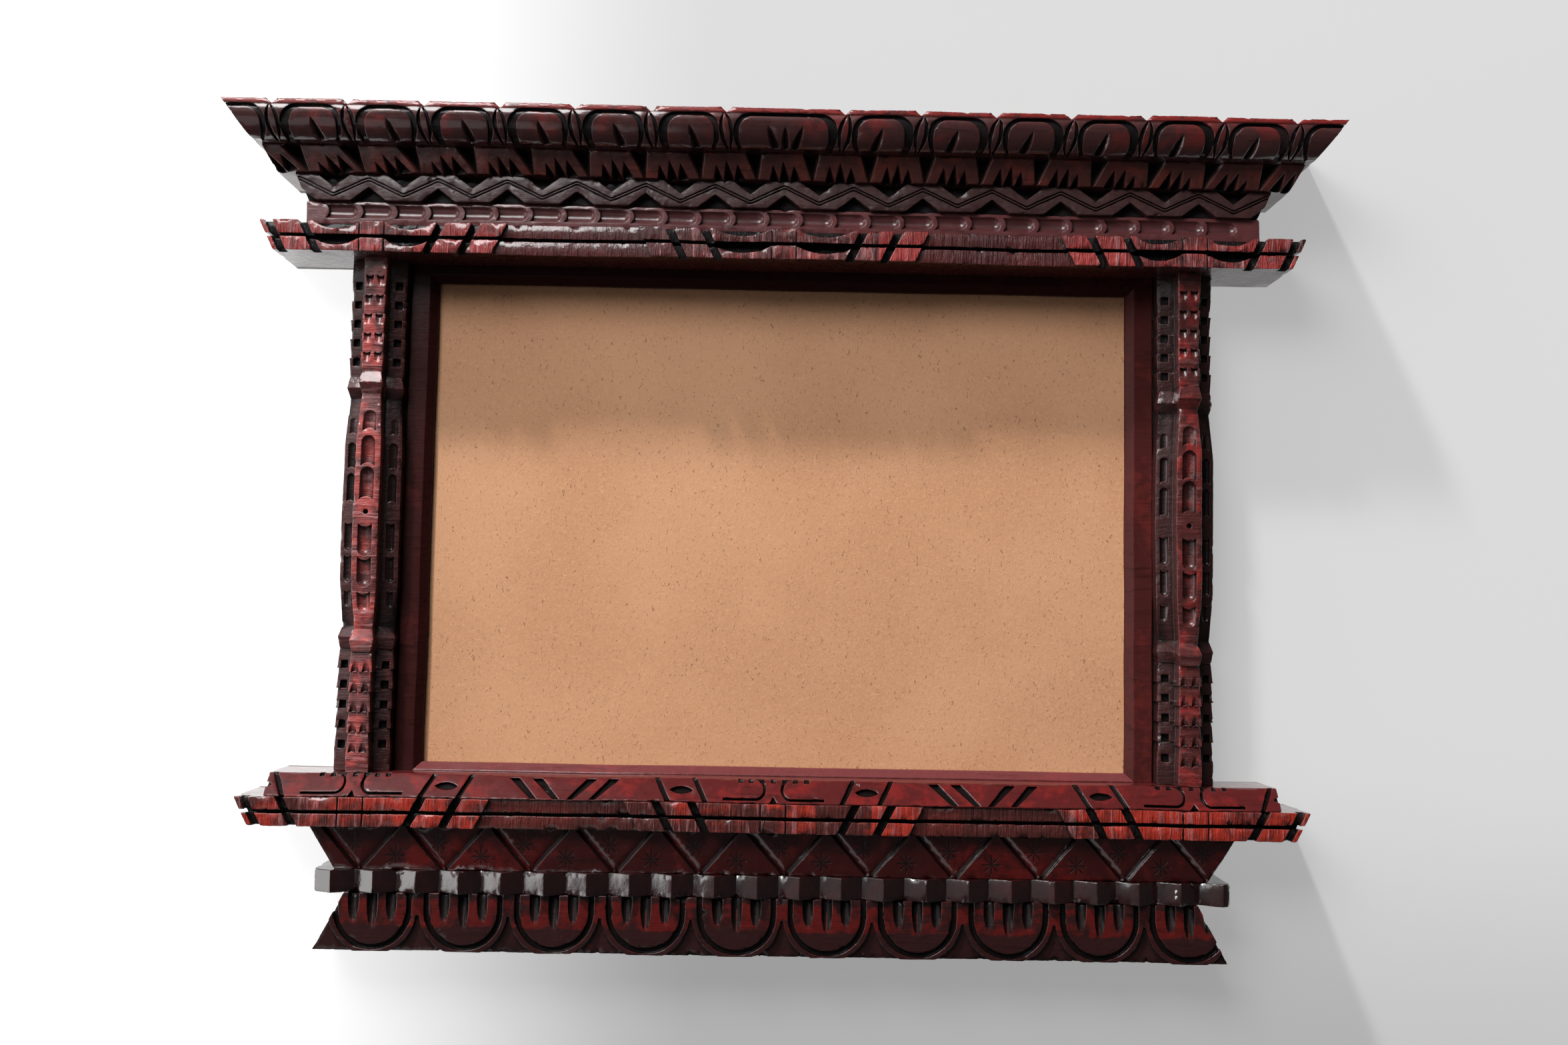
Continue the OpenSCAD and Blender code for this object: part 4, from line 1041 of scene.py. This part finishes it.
@dataclass(frozen=True)
class Lamp:
    """An area lamp that points at the middle of the frame.

    offset is where it stands from there, size is its width and height, and power is in watts. Where it
    isn't glossy, the lacquer doesn't mirror it, and where it is a back lamp, only the frame's own pieces
    cast shadows in its light.
    """

    name: str
    offset: Triple
    size: Pair
    power: float
    glossy: bool = True
    back: bool = False

    def build(self, middle: Vector) -> bpy.types.Object:
        """Makes the lamp.

        Args:
            middle: the middle of the frame.

        Returns:
            The lamp.
        """
        data = bpy.data.lights.new(self.name, "AREA")
        data.shape = "RECTANGLE"
        data.size, data.size_y = self.size
        data.energy = self.power
        lamp = bpy.data.objects.new(self.name, data)
        lamp.location = middle + Vector(self.offset)
        lamp.rotation_euler = (middle - lamp.location).to_track_quat("-Z", "Y").to_euler()
        lamp.visible_camera = False
        lamp.visible_glossy = self.glossy
        bpy.context.scene.collection.objects.link(lamp)
        return lamp


@dataclass(frozen=True)
class Glow:
    """A soft pale place in the room.

    Its strength goes from start to end as the cosine of the angle to its direction goes from low to high.
    """

    way: Triple
    low: float
    high: float
    end: float
    start: float = 0.0


@dataclass
class Studio:
    """A pale wall, a wide lamp from the upper left, a small one high above, one behind, and the camera.

    The wall's light of its own is given for its left, its right and its foot by wall_lift. The left gives
    way to the right between the two places across of wall_fade, and the foot to the right between the two
    heights of wall_rise. A ray that meets the wall within see_through goes on. The camera sees the room
    as bright as backdrop. rear_glow is the room's glow behind the wall: from which and to which share of
    straight back it grows, and how strong it gets.
    """

    middle: Triple = (0.0, 0.0, -0.12)
    lamps: "tuple[Lamp, ...]" = (
        Lamp("window_lamp", (-0.54, -1.00, 0.84), (0.75, 0.55), 13.8),
        Lamp("ceiling_lamp", (-0.84, -0.84, 2.5), (0.18, 0.18), 122.0, glossy=False),
        Lamp("back_lamp", (-0.3, 1.3, 0.3), (0.9, 0.9), 14.0, glossy=False, back=True),
    )
    glows: "tuple[Glow, ...]" = (
        Glow((-0.80, -0.56, 0.21), 0.78, 0.98, 0.22, start=0.035),
        Glow((-0.74, -0.10, 0.67), 0.70, 0.95, 0.60),
        Glow((-0.40, -0.75, 0.53), 0.80, 0.96, 0.42),
        Glow((-0.72, -0.52, 0.46), 0.93, 0.985, 0.60),
        Glow((-0.97, -0.20, -0.05), 0.93, 0.975, 2.0),
        Glow((-0.33, -0.79, -0.52), 0.955, 0.99, 0.45),
    )
    rear_glow: Triple = (0.1, 0.5, 0.45)
    backdrop: float = 0.85
    wall_place: Triple = (0.0, 0.0006, -0.1)
    wall_half: float = 4.0
    wall_cells: int = 8
    wall_colour: Colour = (0.29, 0.29, 0.29)
    wall_rough: float = 0.6
    wall_lift: Triple = (1.0, 0.42, 0.28)
    wall_fade: Pair = (-0.25, -0.02)
    wall_rise: Pair = (-0.34, -0.20)
    see_through: float = 0.004
    camera_place: Triple = (-0.00219, -0.60785, -0.15520)
    camera_turn: Triple = (94.137, -1.024, -0.50)
    lens: float = 33.05

    def build(self) -> None:
        """Makes the wall, the lamps, the world and the camera."""
        self._wall()
        for kind in self.lamps:
            lamp = kind.build(Vector(self.middle))
            if kind.back:
                lamp.light_linking.blocker_collection = self._pieces()
        self._world()
        self._camera()

    def _wall(self) -> None:
        """Makes the wall, which is only seen from the front."""
        shape = bmesh.new()
        bmesh.ops.create_grid(shape, x_segments=self.wall_cells, y_segments=self.wall_cells,
                              size=self.wall_half)
        turn = Vector((0.0, 0.0, 1.0)).rotation_difference(Vector((0.0, -1.0, 0.0)))
        bmesh.ops.rotate(shape, verts=shape.verts, cent=(0.0, 0.0, 0.0), matrix=turn.to_matrix())
        bmesh.ops.translate(shape, verts=shape.verts, vec=self.wall_place)
        mesh = bpy.data.meshes.new("wall")
        shape.to_mesh(mesh)
        shape.free()
        mesh.materials.append(self._paint())
        wall = bpy.data.objects.new("wall", mesh)
        bpy.context.scene.collection.objects.link(wall)

    def _paint(self) -> bpy.types.Material:
        """Makes the wall's paint, which gives off a painted glow for camera and glossy rays alone.

        Returns:
            The material.
        """
        material, sheet = Sheet.for_material("wall_paint")
        paint = sheet.put("BsdfDiffuse", {"Color": self.wall_colour, "Roughness": self.wall_rough}).outputs[0]
        path = sheet.put("LightPath", {}).outputs
        at = sheet.put("SeparateXYZ", {0: sheet.place()}).outputs
        seen = sheet.calc("MAXIMUM", path["Is Camera Ray"], path["Is Glossy Ray"])
        left, right, foot = self.wall_lift
        away = sheet.span(at[0], *self.wall_fade)
        lift = sheet.calc("ADD", sheet.calc("MULTIPLY", sheet.calc("SUBTRACT", 1.0, away), left),
                          sheet.calc("MULTIPLY", away, sheet.span(at[2], *self.wall_rise, foot, right)))
        lift = sheet.calc("MULTIPLY", lift, seen)
        # Painted glow: the wall's own light, brightest to the left and fainter to the right and foot,
        # lightens the shadows on it.
        glow = sheet.put("Emission", {"Color": WHITE, "Strength": lift}).outputs[0]
        plain = sheet.put("AddShader", {0: paint, 1: glow}).outputs[0]
        near = sheet.calc("LESS_THAN", path["Ray Length"], self.see_through)
        straight = sheet.calc("MAXIMUM", path["Is Camera Ray"], path["Is Shadow Ray"])
        unseen = sheet.calc("SUBTRACT", 1.0, straight)
        behind = sheet.calc("MAXIMUM", sheet.put("NewGeometry", {}).outputs["Backfacing"],
                            sheet.calc("MULTIPLY", near, unseen))
        clear = sheet.put("BsdfTransparent", {}).outputs[0]
        sheet.finish(sheet.put("MixShader", {0: behind, 1: plain, 2: clear}).outputs[0])
        return material

    def _pieces(self) -> bpy.types.Collection:
        """The collection of the frame's own pieces, so that the wall doesn't shade its back.

        Returns:
            The collection.
        """
        pieces = bpy.data.collections.new("frame_pieces")
        bpy.context.scene.collection.children.link(pieces)
        for piece in bpy.context.scene.objects:
            if piece.type == "MESH" and piece.name != "wall":
                pieces.objects.link(piece)
        return pieces

    def _world(self) -> None:
        """Makes the room: pale to the left, above and low in front, dimmer to the right."""
        world = bpy.data.worlds.new("room")
        world.use_nodes = True
        bpy.context.scene.world = world
        sheet = Sheet(world.node_tree)
        way = sheet.put("TexCoord", {}).outputs["Generated"]
        level: Term = 0.0
        for glow in self.glows:
            shine = sheet.span(sheet.dot(way, glow.way), glow.low, glow.high, glow.start, glow.end)
            level = sheet.calc("ADD", level, shine)
        low, high, rear_end = self.rear_glow
        rear = sheet.span(sheet.put("SeparateXYZ", {0: way}).outputs[1], low, high, 0.0, rear_end)
        level = sheet.calc("MAXIMUM", level, rear)
        seen = sheet.put("LightPath", {}).outputs["Is Camera Ray"]
        unseen = sheet.calc("MULTIPLY", level, sheet.calc("SUBTRACT", 1.0, seen))
        strength = sheet.calc("ADD", unseen, sheet.calc("MULTIPLY", seen, self.backdrop))
        room = sheet.put("Background", {"Color": WHITE, "Strength": strength})
        sheet.put("OutputWorld", {"Surface": room.outputs[0]})

    def _camera(self) -> None:
        """Makes the camera of the photograph."""
        data = bpy.data.cameras.new("camera")
        data.lens = self.lens
        data.sensor_width = 36.0
        data.dof.use_dof = False
        camera = bpy.data.objects.new("camera", data)
        camera.location = self.camera_place
        camera.rotation_euler = tuple(math.radians(a) for a in self.camera_turn)
        bpy.context.scene.collection.objects.link(camera)
        bpy.context.scene.camera = camera


def main() -> None:
    """Builds the frame and the studio, and reports each piece."""
    logging.basicConfig(level=logging.INFO, format="%(name)s: %(message)s")
    bpy.context.scene.view_settings.view_transform = "Standard"
    finishes = Finishes().build()
    for group in (Cornice(finishes), Posts(finishes), InnerFrame(finishes), SillStack(finishes),
                  RearHardware(finishes)):
        report(group.title, group.build())
    Studio().build()


if __name__ == "__main__":
    main()
